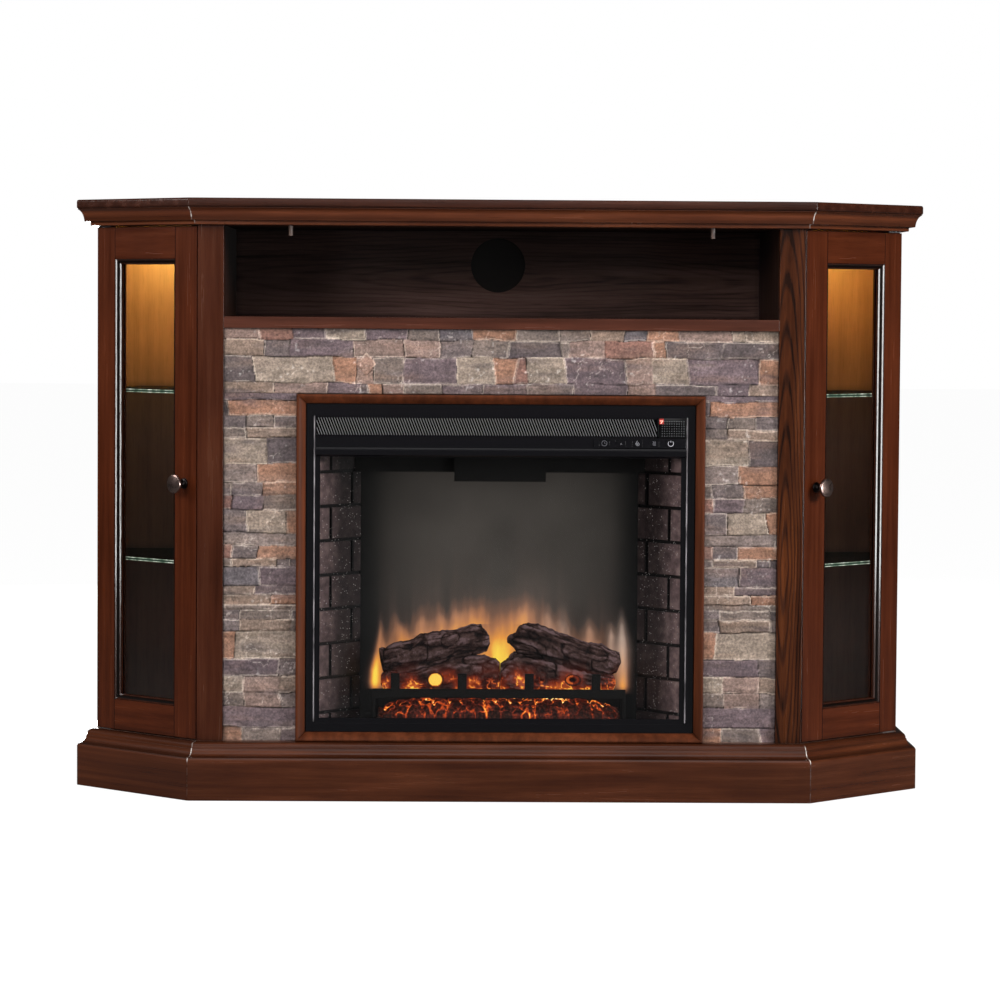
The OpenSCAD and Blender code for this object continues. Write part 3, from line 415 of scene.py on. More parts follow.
flatCut = {"across": 1, "centre": 0.442, "sway": 0.012, "tip": 0.36, "rise": 0.055, "ring": 0.0042, "depth": 0.3}
bayCut = {"across": 2, "centre": 0.812, "sway": 0.02, "tip": 0.08, "rise": 0.06, "ring": 0.006, "depth": 0.12}
mouldingWood = makeWood("espressoMoulding", "round", "30140b", "492311", "66351d")
doorWood = dull(makeWood("espressoDoor", "door", "331306", "4b200e", "602c14"), 0.32)
topWood = makeWood("espressoTop", "level", "251009", "38190d", "4e2717", worn=True)
pilasterWood = makeWood("flatCutPilaster", "upright", "1e0b04", "431f0c", "683411", arches=flatCut, pores=1.0)
dull(pilasterWood, 0.3)
quietWood = dull(makeWood("quarterCutPilaster", "upright", "2d1209", "411d0e", "502a18", pores=0.6), 0.3)
sideWood = makeWood("espressoSide", "upright", "30140b", "492311", "66351d")
shelfWood = makeWood("espressoShelf", "level", "321a11", "482418", "633525")
bayWood = dull(makeWood("darkBayVeneer", "level", "35241f", "6b4f48", "80635b", 0.5, arches=bayCut), 0.1)
ceilingWood = dull(makeWood("bayCeiling", "level", "120a06", "22130d", "2f1c14", 0.5), 0.1)
cabinetWood = makeWood("cabinetLining", "upright", "7a5648", "8a6455", "9a7060", 0.45)
dress(sideWood, "side_panels")
dress(bayWood, "bay_back")
dress(ceilingWood, "top_panel")
dress(cabinetWood, "cabinet_backs", "deck_panel", "base_cleats")
dress(makePartitionWood(), "partitions")
trimWood = dull(makeWood("redTrim", "upright", "3a180c", "542a17", "703a22", 0.45), 0.1)
woodPieces = []
for wood, width, body, *names in (
        (topWood, 0.0009, "cabinet", "mantel_top"),
        (mouldingWood, 0.0009, "cabinet", "crown_moulding", "base_moulding"),
        (pilasterWood, 0.0006, "cabinet", "pilasters"), (shelfWood, 0.0006, "cabinet", "bay_shelf"),
        (doorWood, 0.0006, "left_door", "left_door_frame", "left_glass_beads"),
        (doorWood, 0.0006, "right_door", "right_door_frame", "right_glass_beads"),
        (trimWood, 0.0012, "cabinet", "trim_frame")):
    woodPieces += ease(wood, *names, slot="mantel_wood", body=body, width=width)
for piece in woodPieces:
    if piece.name.startswith("pilasters"):
        piece.data.materials.append(quietWood)
        for face in piece.data.polygons:
            face.material_index = 1 if face.center.x < 0 else 0
print("wood finished")


# moulded stacked-stone facing, dry-brushed by hand: slate, cream, rust and tan stones with pale flaked edges, and
# painted shade darkening the gaps between them
stone = {
    "face": -0.159,           # where the panels' backing ends
    "step": 0.0014,           # spacing of the mesh
    "lift": (0.0030, 0.0062),
    "edge": 0.0022,           # width of a stone's broken edge
    "proudest": 0.0095,
    "back": 0.006,            # depth of the backing
    "base": "84766f",         # the cement's own colour, which every stone takes some of
    "lozenge": (-0.2070, 0.6679, 0.0150, 0.0190),
    "drift": (("8f7d72", 0.50, 0.030, 50), ("5c5156", 0.60, 0.022, 60), ("94725d", 0.34, 0.026, 65)),
    "colours": {
        "s": "766868", "p": "715e65", "b": "6b646a", "g": "84746c", "c": "ad9a89", "t": "9f8675",
        "o": "b17e62", "r": "96685a", "k": "a2857a", "d": "5c5052", "w": "93827c"},
}
legCourses = [
    (0, 21, [0, 29, 89, 112], "ogp"), (21, 52, [0, 112], "p"), (52, 75, [0, 32, 88, 112], "gkw"),
    (75, 100, [0, 31, 87, 112], "ckt"), (100, 127, [0, 86, 112], "ps"), (127, 169, [0, 18, 112], "oc"),
    (169, 188, [0, 25, 104, 112], "stg"), (188, 203, [0, 25, 104, 112], "sgd"), (203, 211, [0, 112], "g"),
    (211, 226, [0, 73, 112], "to"), (226, 239, [0, 48, 112], "tp"), (239, 269, [0, 55, 112], "bp"),
    (269, 281, [0, 13, 82, 103, 112], "gtsd"), (281, 301, [0, 13, 52, 112], "rso"), (301, 320, [0, 112], "w"),
    (320, 355, [0, 35, 97, 112], "sco"), (355, 378, [0, 13, 61, 112], "rpg"), (378, 398, [0, 12, 60, 112], "gso"),
    (398, 426, [0, 52, 112], "wo"), (426, 466, [0, 67, 112], "cd"), (466, 482, [0, 34, 112], "gt"),
    (482, 501, [0, 34, 77, 112], "sgs"), (501, 524, [0, 7, 112], "do"), (524, 534, [0, 112], "p")]
headerCourses = [
    (0, 16, [0, 77, 159, 210, 221, 242, 276, 334, 396, 466, 536, 619, 661, 755, 805, 850], "tkpdokgppspkspt"),
    (16, 56, [0, 46, 168, 203, 229, 275, 356, 414, 447, 464, 523, 616, 656, 711, 820, 850], "dcokgpcorcpkcpo"),
    (56, 82, [0, 61, 100, 198, 276, 331, 381, 436, 516, 529, 583, 658, 677, 765, 850], "tspkksgdgkrodd"),
    (82, 99, [0, 55, 105, 156, 216, 281, 330, 381, 447, 514, 561, 613, 648, 697, 779, 799, 850], "krpcpgboggtbokcc")]


def paint(code):
    return np.array(linear(code)[:3])


def stonePanel(name, left, bottom, width, height, pattern, courses, seed):
    step = stone["step"]
    columns = int(width / step) + 1
    rows = int(height / step) + 1
    xs, zs = meshGrid(0, width, rows, columns, (0, height))
    flat = np.stack([xs + left, np.zeros_like(xs), zs + bottom], 1)
    wide, high_ = pattern[0] / width, pattern[1] / height
    # joints wander, and step up or down a little from stone to stone
    jump = smooth(-0.25, 0.25, wave(flat * [1, 1, 0.5], 0.045, seed + 3)) - 0.5
    px = (xs + 0.0012 * layered(flat, 0.012, seed) + 0.0004 * wave(flat, 0.003, seed + 4)) * wide
    pz = (zs + 0.0022 * jump + 0.0009 * layered(flat, 0.014, seed + 9) + 0.0003 * wave(flat, 0.003, seed + 5)) * high_
    rise = np.zeros(len(xs))
    edge = np.full(len(xs), 1.0)
    side = np.zeros(len(xs))
    colour = np.zeros((len(xs), 3))
    rng = np.random.default_rng(seed)
    for low, high, joints, kinds in courses:
        inRow = ((pz >= low) | (low == 0)) & ((pz < high) | (high == pattern[1]))
        lean = rng.uniform(-0.22, 0.22, len(joints))
        lean[0] = lean[-1] = 0
        middle = (low + high) / 2
        for k, kind in enumerate(kinds):
            a = joints[k] + lean[k] * (pz - middle) + 1.5 * lean[k] * np.sin((pz - low) * 0.5)
            b = joints[k + 1] + lean[k + 1] * (pz - middle) + 1.5 * lean[k + 1] * np.sin((pz - low) * 0.5)
            inside = inRow & ((px >= a) | (k == 0)) & ((px < b) | (k == len(kinds) - 1))
            proud = rng.uniform(*stone["lift"])
            tilt = rng.uniform(-1, 1, 2) * 0.0011
            shade = rng.uniform(0.9, 1.1)
            bright = rng.uniform(-1, 1, 4)
            if not inside.any():
                continue
            fromLeft = (px[inside] - a[inside]) / wide if k else np.full(inside.sum(), 0.02)
            fromRight = (b[inside] - px[inside]) / wide if k < len(kinds) - 1 else np.full(inside.sum(), 0.02)
            fromLow = (pz[inside] - low) / high_ if low else np.full(inside.sum(), 0.02)
            fromHigh = (high - pz[inside]) / high_ if high < pattern[1] else np.full(inside.sum(), 0.02)
            four = np.stack([fromLeft, fromRight, fromLow, fromHigh])
            edge[inside] = four.min(0)
            side[inside] = bright[four.argmin(0)]
            u = (px[inside] - joints[k]) / max(joints[k + 1] - joints[k], 1) - 0.5
            v = (pz[inside] - middle) / (high - low)
            rise[inside] = proud + tilt[0] * u * 2 + tilt[1] * v * 2
            tint = 0.8 * paint(stone["colours"][kind]) + 0.2 * paint(stone["base"])
            colour[inside] = tint * shade * 0.74
    # one lozenge-shaped chip stands on its point in the header
    x, z, wide_, tall_ = stone["lozenge"]
    point = abs(flat[:, 0] - x) / wide_ + abs(flat[:, 2] - z) / tall_ + 0.12 * wave(flat, 0.008, seed + 99)
    edge = np.where(point < 1, (1 - point) * wide_ * 0.8, edge)
    rise = np.where(point < 1, 0.0062, rise)
    colour[point < 1] = 0.85 * paint("a07f70")
    soft = smooth(0.0, stone["edge"], edge)
    flaky = flat * [0.35, 1, 1.6]
    rough = layered(flat, 0.016, seed + 20, 4)
    strata = layered(flaky, 0.006, seed + 30, 3)
    fine = wave(flat, 0.0028, seed + 40)
    shallow = 0.5 + 0.42 * smooth(-0.3, 0.5, side + 0.5 * wave(flat, 0.015, seed + 95))
    lift = rise * (shallow + (1 - shallow) * soft ** 0.6) + 0.0011 * rough + 0.0007 * strata * soft + 0.0004 * fine
    # the finish: neighbours' tints drift over a stone, pale brushing on what stands up
    for code, amount, size, start in stone["drift"]:
        drift = amount * smooth(0.0, 0.8, layered(flaky, size, seed + start, 3))[:, None]
        colour = colour * (1 - drift) + 0.82 * paint(code) * drift
    colour *= (1 + 0.34 * strata + 0.30 * rough + 0.24 * fine)[:, None]
    crust = smooth(0.0012, 0.0004, abs(edge - 0.0011)) * smooth(-0.15, 0.5, side + 0.7 * wave(flat, 0.012, seed + 70))
    colour += crust[:, None] * np.array([0.26, 0.22, 0.185])
    vein = smooth(0.045, 0.0, abs(wave(flat, 0.017, seed + 80) + 0.25 * wave(flat, 0.005, seed + 81)))
    vein *= smooth(0.0, 0.5, wave(flat, 0.035, seed + 82))
    colour += (vein * 0.24)[:, None] * np.array([1, 0.88, 0.78])
    chip = smooth(0.62, 0.8, wave(flat, 0.0045, seed + 84)) * smooth(0.1, 0.5, wave(flat, 0.03, seed + 85))
    colour += (chip * 0.22)[:, None] * np.array([1, 0.95, 0.9])
    # painted shade in the gaps between stones, on some of each stone's sides
    gapShade = smooth(0.0010, 0.0002, edge) * smooth(0.15, 0.6, -side + 0.7 * wave(flat, 0.014, seed + 90))
    colour *= (1 - 0.9 * gapShade)[:, None]
    lift = lift - 0.002 * gapShade
    lift = np.clip(lift, 0, stone["proudest"])
    points = np.stack([flat[:, 0], stone["face"] + 0.001 - lift, flat[:, 2]], 1)
    piece, border = closedSheet(name, points, rows, columns, 1, stone["face"] + stone["back"], stoneFinish)
    # painted shade: the panel's edge walls darken towards the backing
    storeColour(piece, "stoneColour", np.clip(np.concatenate([colour, colour[border] * 0.3]), 0.005, 1))
    return piece


def makeStoneFinish():
    # cast gypsum-cement stone, painted matt: it only shines on a few crystal flecks
    material, add, shader, where = newMaterial("castStone", Roughness=0.82, IOR=1.5)
    tint = add("Attribute", attribute_name="stoneColour")
    # grit of about 1 mm, drawn at 3 mm so that it shows
    grit = add("TexNoise", {"Vector": where, "Scale": 300.0, "Detail": 4.0, "Roughness": 0.7})
    level = add("MapRange", (grit, 0.3, 0.7, 0.52, 1.5))
    mixed = add("Mix", {0: 1.0, 6: tint, 7: level}, data_type="RGBA", blend_type="MULTIPLY")
    bump = add("Bump", {"Strength": 0.5, "Distance": 0.0006, "Height": grit})
    feed(shader, {"Base Color": mixed.outputs[2], "Normal": bump})
    return material


stoneFinish = makeStoneFinish()
for name, node, pattern, courses, seed in (
        ("headerStones", "stone_header", (850, 99), headerCourses, 3),
        ("leftLegStones", "stone_leg_left", (112, 534), legCourses, 11),
        ("rightLegStones", "stone_leg_right", (112, 534), legCourses, 23)):
    low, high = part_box(node)
    panel = stonePanel(name, low.x, low.z, high.x - low.x, high.z - low.z, pattern, courses, seed)
    settle(panel, "cabinet", node)
print("stone laid")


def makePaintedSteel(name, code, rough, grain=0.0002):
    # powder coat on sheet steel: a faint orange peel that breaks up the reflections
    material, add, shader, where = newMaterial(name, code, Roughness=rough, IOR=1.5)
    peel = add("TexNoise", {"Vector": where, "Scale": 500.0, "Detail": 2.0})
    feed(shader, {"Normal": add("Bump", {"Strength": 0.25, "Distance": grain, "Height": peel})})
    return material


def makeBareMetal(name, code, rough):
    # zinc-plated or drawn steel: small clouds in the shine
    material, add, shader, where = newMaterial(name, code, Metallic=1.0)
    cloud = add("TexNoise", {"Vector": where, "Scale": 120.0, "Detail": 3.0})
    feed(shader, {"Roughness": add("MapRange", {0: cloud, 3: rough - 0.08, 4: rough + 0.1})})
    return material


def makeGlass(name, code, shine, rough=0.02):
    # float glass: nearly all that lies behind it shows, under a thin mirror-like shine
    material, add, shader, _ = newMaterial(name, code, Metallic=1.0, Roughness=rough)
    both = add("MixShader", (shine, add("BsdfTransparent"), shader))
    feed(material.node_tree.nodes["Material Output"], {"Surface": both})
    return material


frameBlack = makePaintedSteel("satinBlackFrame", "08070b", 0.24)
casingBlack = makePaintedSteel("mattBlackCasing", "0c0b0c", 0.6)
zinc = makeBareMetal("zincPlatedSteel", "b9bbbd", 0.35)
aluminium = makeBareMetal("bareAluminium", "c9cacc", 0.3)
pewter = makeBareMetal("agedPewter", "a38a82", 0.28)
darkBronze = makeBareMetal("darkenedPewter", "2e2a2a", 0.3)

# the painted highlight down each side of the front's opening
innerHighlight = {"x": 0.2858, "reach": 0.0009, "middle": 0.354, "half": 0.235}


def makeFrontBlack():
    # the same powder coat, with a painted highlight line along the inner edge that the glass drops into
    made = makePaintedSteel("satinBlackFront", "08070b", 0.24)
    add = partial(addNode, made.node_tree)
    where = add("TexCoord").outputs["Object"]
    split = add("SeparateXYZ", where)
    line = add("Math", split, operation="ABSOLUTE")
    line = add("Math", (line, innerHighlight["x"], innerHighlight["reach"]), operation="COMPARE")
    ends = add("Math", (split.outputs[2], innerHighlight["middle"], innerHighlight["half"]), operation="COMPARE")
    line = add("Math", (line, ends), operation="MULTIPLY")
    highlightBreaks = add("TexNoise", {"Vector": where, "Scale": 30.0})
    highlightBreaks = add("MapRange", (highlightBreaks, 0.35, 0.65, 0.2, 1.0))
    line = add("Math", (line, highlightBreaks), operation="MULTIPLY")
    colour = add("Mix", {0: line, 6: linear("08070b"), 7: linear("9a9498")}, data_type="RGBA")
    feed(made.node_tree.nodes["Principled BSDF"], {"Base Color": colour.outputs[2]})
    return made


grateIron = dull(makePaintedSteel("sootedIron", "060504", 0.6), 0.15)
dress(casingBlack, "insert_casing", "rear_cover", "surround_board", "cord_gland")
dress(grateIron, "heat_baffle")
dress(zinc, "door_pivots", "rotor_motor", "blower_housing")
dress(aluminium, "flame_rotor", "fan_wheel")
for coat, width, name in ((makeFrontBlack(), 0.0007, "insert_front"), (frameBlack, 0.0003, "control_panel"),
                          (grateIron, 0.0008, "log_grate")):
    ease(coat, name, slot="black_frame", width=width)
for name in ("timer_button", "dimmer_button", "flame_button", "heat_button", "power_button"):
    ease(frameBlack, name, slot="black_frame", body=name, width=0.0003)
knobFoot = -0.0155    # how far out from the door's face the head begins
for side in ("left", "right"):
    for piece in ease(pewter, side + "_door_fittings", slot="pewter", body=side + "_door", width=0, flat=50):
        piece.data.materials.append(darkBronze)
        for face in piece.data.polygons:
            # the knob's head is rubbed bright; its stem and rosette stay dark
            out = mantel["bodyHalf"] - mantel["cornerY"] - abs(face.center.x) + face.center.y
            face.material_index = 0 if out / math.sqrt(2) < knobFoot else 1
agedPin = makePaintedSteel("agedPin", "7d655b", 0.42)
for metal, name in ((agedPin, "bay_bolts"), (zinc, "shelf_pins")):
    ease(metal, name, slot="bright_steel", width=0, flat=40)
dress(makeGlass("clearDoorGlass", "f2f5f3", 0.05), "left_door_glass", "right_door_glass")
dress(makeGlass("clearFireGlass", "e9e9ee", 0.022), "firebox_glass")

shelfClear = makeGlass("clearShelfGlass", "cfe6d8", 0.10)
shelfClear.node_tree.nodes["Transparent BSDF"].inputs[0].default_value = linear("c2cbc4")


def makeShelfEdge():
    # ground and polished edge of float glass: dark green, with painted highlights glowing along its two arrises and in
    # bright spots
    material, add, shader, where = newMaterial("glassEdgePaintedGlint", "20382c", Roughness=0.12, IOR=1.52)
    z = add("SeparateXYZ", where).outputs[2]
    z = add("Math", (z, shelfLevels[1], shelfLevels[0]), operation="WRAP")
    z = add("Math", (z, shelfLevels[0] + shelfThick / 2), operation="SUBTRACT")
    z = add("Math", z, operation="ABSOLUTE")
    rim = add("MapRange", (z, 0.0012, 0.0018, 0.05, 1.0))
    spark = add("TexNoise", {"Vector": where, "Scale": 90.0, "Detail": 3.0})
    level = add("ValToRGB", {"Fac": spark}, [(0.35, "4c5c4c"), (0.52, "a4b09c"), (0.66, "f4f6e8")])
    lit = add("Mix", {0: 1.0, 6: level, 7: rim}, data_type="RGBA", blend_type="MULTIPLY")
    # the highlights are painted as glow
    feed(shader, {"Emission Color": lit.outputs[2], "Emission Strength": 1.2})
    return material


# two fine arrises on the moulding round each door's glass, where lacquer gathers and shines
doorBead = {
    "low": (0.043, 0.138), "high": (0.185, 0.828),    # corners of the opening, along the door and up
    # the sections of the two beads and of the dark quirk between them: millimetres in and deep
    "steps": [[(0.5, 2.3), (0.5, 1.2), (0.8, 0.6), (2.5, 1.9), (2.6, 2.4)],
              [(6.2, 6.2), (6.2, 4.9), (6.9, 4.3), (8.7, 5.68), (8.9, 8.5), (8.4, 8.5)],
              [(2.5, 3.2), (2.6, 1.95), (4.2, 2.55), (6.2, 4.8), (6.2, 6.0)]],
}


def makeDoorBead(name, side):
    points, faces, kinds = [], [], []
    (left, foot), (right, top) = doorBead["low"], doorBead["high"]
    for step in doorBead["steps"]:
        start = len(points)
        corners = (left, foot, 1, 1), (right, foot, -1, 1), (right, top, -1, -1), (left, top, 1, -1)
        for along, up, inX, inZ in corners:
            for u, v in step:
                s, depth, z = along + inX * u / 1000, v / 1000, up + inZ * u / 1000
                x = -mantel["bodyHalf"] + math.sqrt(0.5) * (s + depth)
                points.append((-side * x, mantel["cornerY"] + math.sqrt(0.5) * (depth - s), z))
        n = len(step)
        for c in range(4):
            for k in range(n):
                here, ahead, across = start + c * n, start + (c + 1) % 4 * n, (k + 1) % n
                quad = (here + k, here + across, ahead + across, ahead + k)
                faces.append(quad if side < 0 else quad[::-1])
                kinds.append(1 if step is doorBead["steps"][2] else 0)
    piece = meshPiece(name, np.array(points), faces, beadWood, False)
    piece.data.materials.append(quirkShade)
    piece.data.polygons.foreach_set("material_index", kinds)
    return piece


beadWood = dull(makeWood("lacqueredBead", "door", "1c0d08", "34180e", "4a2415", shine=0.1), 1.0)
# painted shade: the quirk between the beads is drawn near black
quirkShade = dull(makePaintedSteel("paintedQuirkShade", "0d0604", 0.6), 0.1)
for name, side in (("left", -1), ("right", 1)):
    settle(makeDoorBead(name + "DoorBead", side), name + "_door")

shelfLevels = (0.356, 0.620)  # undersides of the two shelves
shelfThick = 0.005
shelfEdge = makeShelfEdge()
backEdge = makeGlass("cutGlassEdge", "5f7468", 0.25)
for side in ("left", "right"):
    for piece in ease(shelfClear, side + "_glass_shelves", slot="shelf_glass", width=0.0003):
        piece.data.materials.append(shelfEdge)
        piece.data.materials.append(backEdge)
        for face in piece.data.polygons:
            face.material_index = 0 if abs(face.normal.z) > 0.9 else 1 if face.normal.y < -0.3 else 2


def makePlain(name, code, rough, glow=None, strength=0.0):
    # moulded plastic, fibre board or mica, slightly mottled
    material, add, shader, where = newMaterial(name, Roughness=rough)
    cloud = add("TexNoise", {"Vector": where, "Scale": 60.0, "Detail": 4.0})
    level = add("MapRange", {0: cloud, 3: 0.85, 4: 1.15})
    mixed = add("Mix", {0: 1.0, 6: linear(code), 7: level}, data_type="RGBA", blend_type="MULTIPLY")
    feed(shader, {"Base Color": mixed.outputs[2]})
    if glow:
        feed(shader, {"Emission Color": linear(glow), "Emission Strength": strength})
    return material


dress(makePlain("greenBoard", "1d5a36", 0.5), "circuit_board", "led_board")
dress(makePlain("mica", "b8aa8c", 0.6), "heating_element")
dress(makePlain("catchBrown", "3b2013", 0.5), "door_catches")
dress(makePlain("lampHousing", "8d877c", 0.45), "puck_lights")
dress(makePlain("warmLens", "ffd9a0", 0.4, "ffc070", 6.0), "puck_lenses")
print("metals and glass finished")


brick = {
    "course": 0.053, "firstJoint": 0.131, "joint": 0.0027, "soft": 0.0006, "uprights": (-0.0893, -0.1314),
    "clean": -0.148, "paintedShaded": -0.112,    # how far back the painted shade begins and is full
}


def makeBrick():
    # cast fibre-cement liner, painted as brick: black joints, pitted faces with a little pale dust in the pits, and
    # painted light at the front that fades to painted shade towards the rear
    material, add, shader, where = newMaterial("mauveBrick", Roughness=0.5)
    x, y, z = add("SeparateXYZ", where).outputs
    course = add("Math", (z, brick["firstJoint"]), operation="SUBTRACT")
    level = add("Math", (course, brick["course"] / 2), operation="PINGPONG")
    row = add("Math", (course, brick["course"]), operation="DIVIDE")
    row = add("Math", row, operation="FLOOR")
    row = add("Math", (row, 2.0), operation="FLOORED_MODULO")
    at = add("Mix", {0: row, 2: brick["uprights"][0], 3: brick["uprights"][1]})
    upright = add("Math", (y, at), operation="SUBTRACT")
    upright = add("Math", upright, operation="ABSOLUTE")
    nearest = add("Math", (level, upright), operation="MINIMUM")
    low, high = brick["joint"] - brick["soft"], brick["joint"] + brick["soft"]
    joint = add("MapRange", (nearest, low, high, 0.03, 1.0))
    # painted light at the front, fading to painted shade towards the rear
    paintedRearShade = add("MapRange", (y, brick["clean"], brick["paintedShaded"], 1.35, 0.22))
    shade = add("Math", (joint, paintedRearShade), operation="MULTIPLY")
    cloud = add("TexNoise", {"Vector": where, "Scale": 90.0, "Detail": 5.0})
    tone = add("ValToRGB", {"Fac": cloud}, [(0.3, "372b2b"), (0.5, "4d3e3e"), (0.7, "62524f")])
    # painted light: the right liner is drawn lighter than the left
    clean = add("MapRange", (x, -0.2, 0.2, 0.88, 1.28))
    shade = add("Math", (shade, clean), operation="MULTIPLY")
    mixed = add("Mix", {0: 1.0, 6: tone, 7: shade}, data_type="RGBA", blend_type="MULTIPLY")
    pit = add("TexVoronoi", {"Vector": where, "Scale": 230.0})
    dust = add("MapRange", (pit, 0.17, 0.09))
    patch = add("TexNoise", {"Vector": where, "Scale": 45.0})
    patch = add("MapRange", (patch, 0.44, 0.54))
    dust = add("Math", (dust, patch), operation="MULTIPLY")
    dusty = add("Mix", {0: dust, 6: mixed.outputs[2], 7: linear("ccc4c2")}, data_type="RGBA")
    pit = add("MapRange", (pit, 0.05, 0.3))
    bump = add("Bump", {"Strength": 0.6, "Distance": 0.0010, "Height": pit})
    feed(shader, {"Base Color": dusty.outputs[2], "Normal": bump})
    return material


dress(dull(makeBrick(), 0.25), "brick_liners")

flameScreen = {
    "step": 0.002,
    # height of the light along x (millimetres)
    "level": [(-192, 0.1), (-180, 0.40), (-60, 0.46), (0, 0.5), (60, 0.40), (120, 0.34), (180, 0.30), (192, 0.1)],
    # top line of the logs, x and z in millimetres: the light rises from behind it
    "crest": [(-216, 150), (-191, 165), (-186, 226), (-161, 233), (-138, 238), (-122, 248), (-78, 253), (-42, 262),
              (-28, 262), (-15, 240), (-8, 205), (4, 198), (12, 210), (20, 240), (32, 262), (46, 265), (61, 263),
              (105, 246), (134, 236), (160, 232), (187, 219), (191, 165), (216, 150)],
    # each tongue runs up through rows of z, x, half width, heat and paleness
    "tongues": [
        [(160, -191, 9, .8, 0), (172, -191, 10, 1, 0), (190, -190, 9.5, 1, 0), (204, -188, 8.5, .85, 0),
         (219, -186, 7.5, .55, .05), (237, -184.5, 6, .42, .1), (255, -183, 4.5, .28, .15), (272, -183, 3.5, .08, .2),
         (285, -183, 3, 0, .2)],
        [(215, -145, 9, .5, 0), (237, -147.5, 7.5, .56, 0), (247, -151, 6, .5, .05), (258, -153.5, 4.5, .38, .1),
         (267, -157, 3.2, .22, .2), (280, -158, 3, .06, .2), (290, -158, 2, 0, 0)],
        [(155, 195, 9, .6, 0), (165, 195, 10, .74, .05), (181, 195, 10, .7, .2), (202, 195, 11, .62, .45),
         (223, 194.5, 11, .58, .7), (241, 194, 9.5, .52, .9), (262, 193, 7, .36, 1), (278, 192, 5, .14, 1),
         (294, 191, 4, 0, 1)],
        [(190, 4, 20, 1, 0), (212, 4, 22, 1, 0), (225, 4.5, 24, .95, 0), (238, 6, 26, .8, 0), (250, 7, 28, .62, 0),
         (265, 8, 30, .46, 0), (285, 8, 32, .28, 0), (305, 8, 30, .12, 0), (325, 8, 26, 0, 0)],
        [(222, 176, 4, .35, .7), (245, 175.5, 4, .38, .8), (258, 175, 3.5, .2, .9), (270, 174, 3, 0, 1)],
        [(230, 143, 7, .42, .3), (252, 142, 6, .38, .4), (266, 140, 4.5, .2, .5), (280, 139, 3, 0, .5)],
        [(240, 102, 6, .25, .6), (264, 101, 5, .2, .8), (285, 100, 4, .08, .9), (300, 100, 3, 0, 1)],
        [(248, 79, 6, .36, .35), (264, 78, 5.5, .32, .4), (282, 77, 4, .15, .5), (300, 76, 3, 0, .5)],
        [(244, -118, 7, .42, .1), (263, -118, 6, .3, .15), (278, -119, 4, .12, .2), (295, -119, 3, 0, 0)],
        [(248, -91, 7, .42, .05), (266, -91, 6, .34, .1), (282, -92, 4.5, .15, .2), (300, -92, 3, 0, 0)],
        [(250, -68, 7, .44, .05), (270, -69, 6, .34, .1), (290, -70, 4.5, .14, .2), (310, -70, 3, 0, 0)],
        [(258, -50, 7, .42, 0), (278, -52, 6, .3, .1), (300, -53, 5, .1, .1), (318, -53, 4, 0, 0)],
        [(262, -31, 8, .42, 0), (285, -32, 7, .28, 0), (305, -32, 6, .1, 0), (325, -32, 5, 0, 0)],
        [(262, 42, 8, .36, .1), (285, 44, 7, .2, .15), (305, 45, 6, .06, .2), (320, 45, 5, 0, 0)]],
}


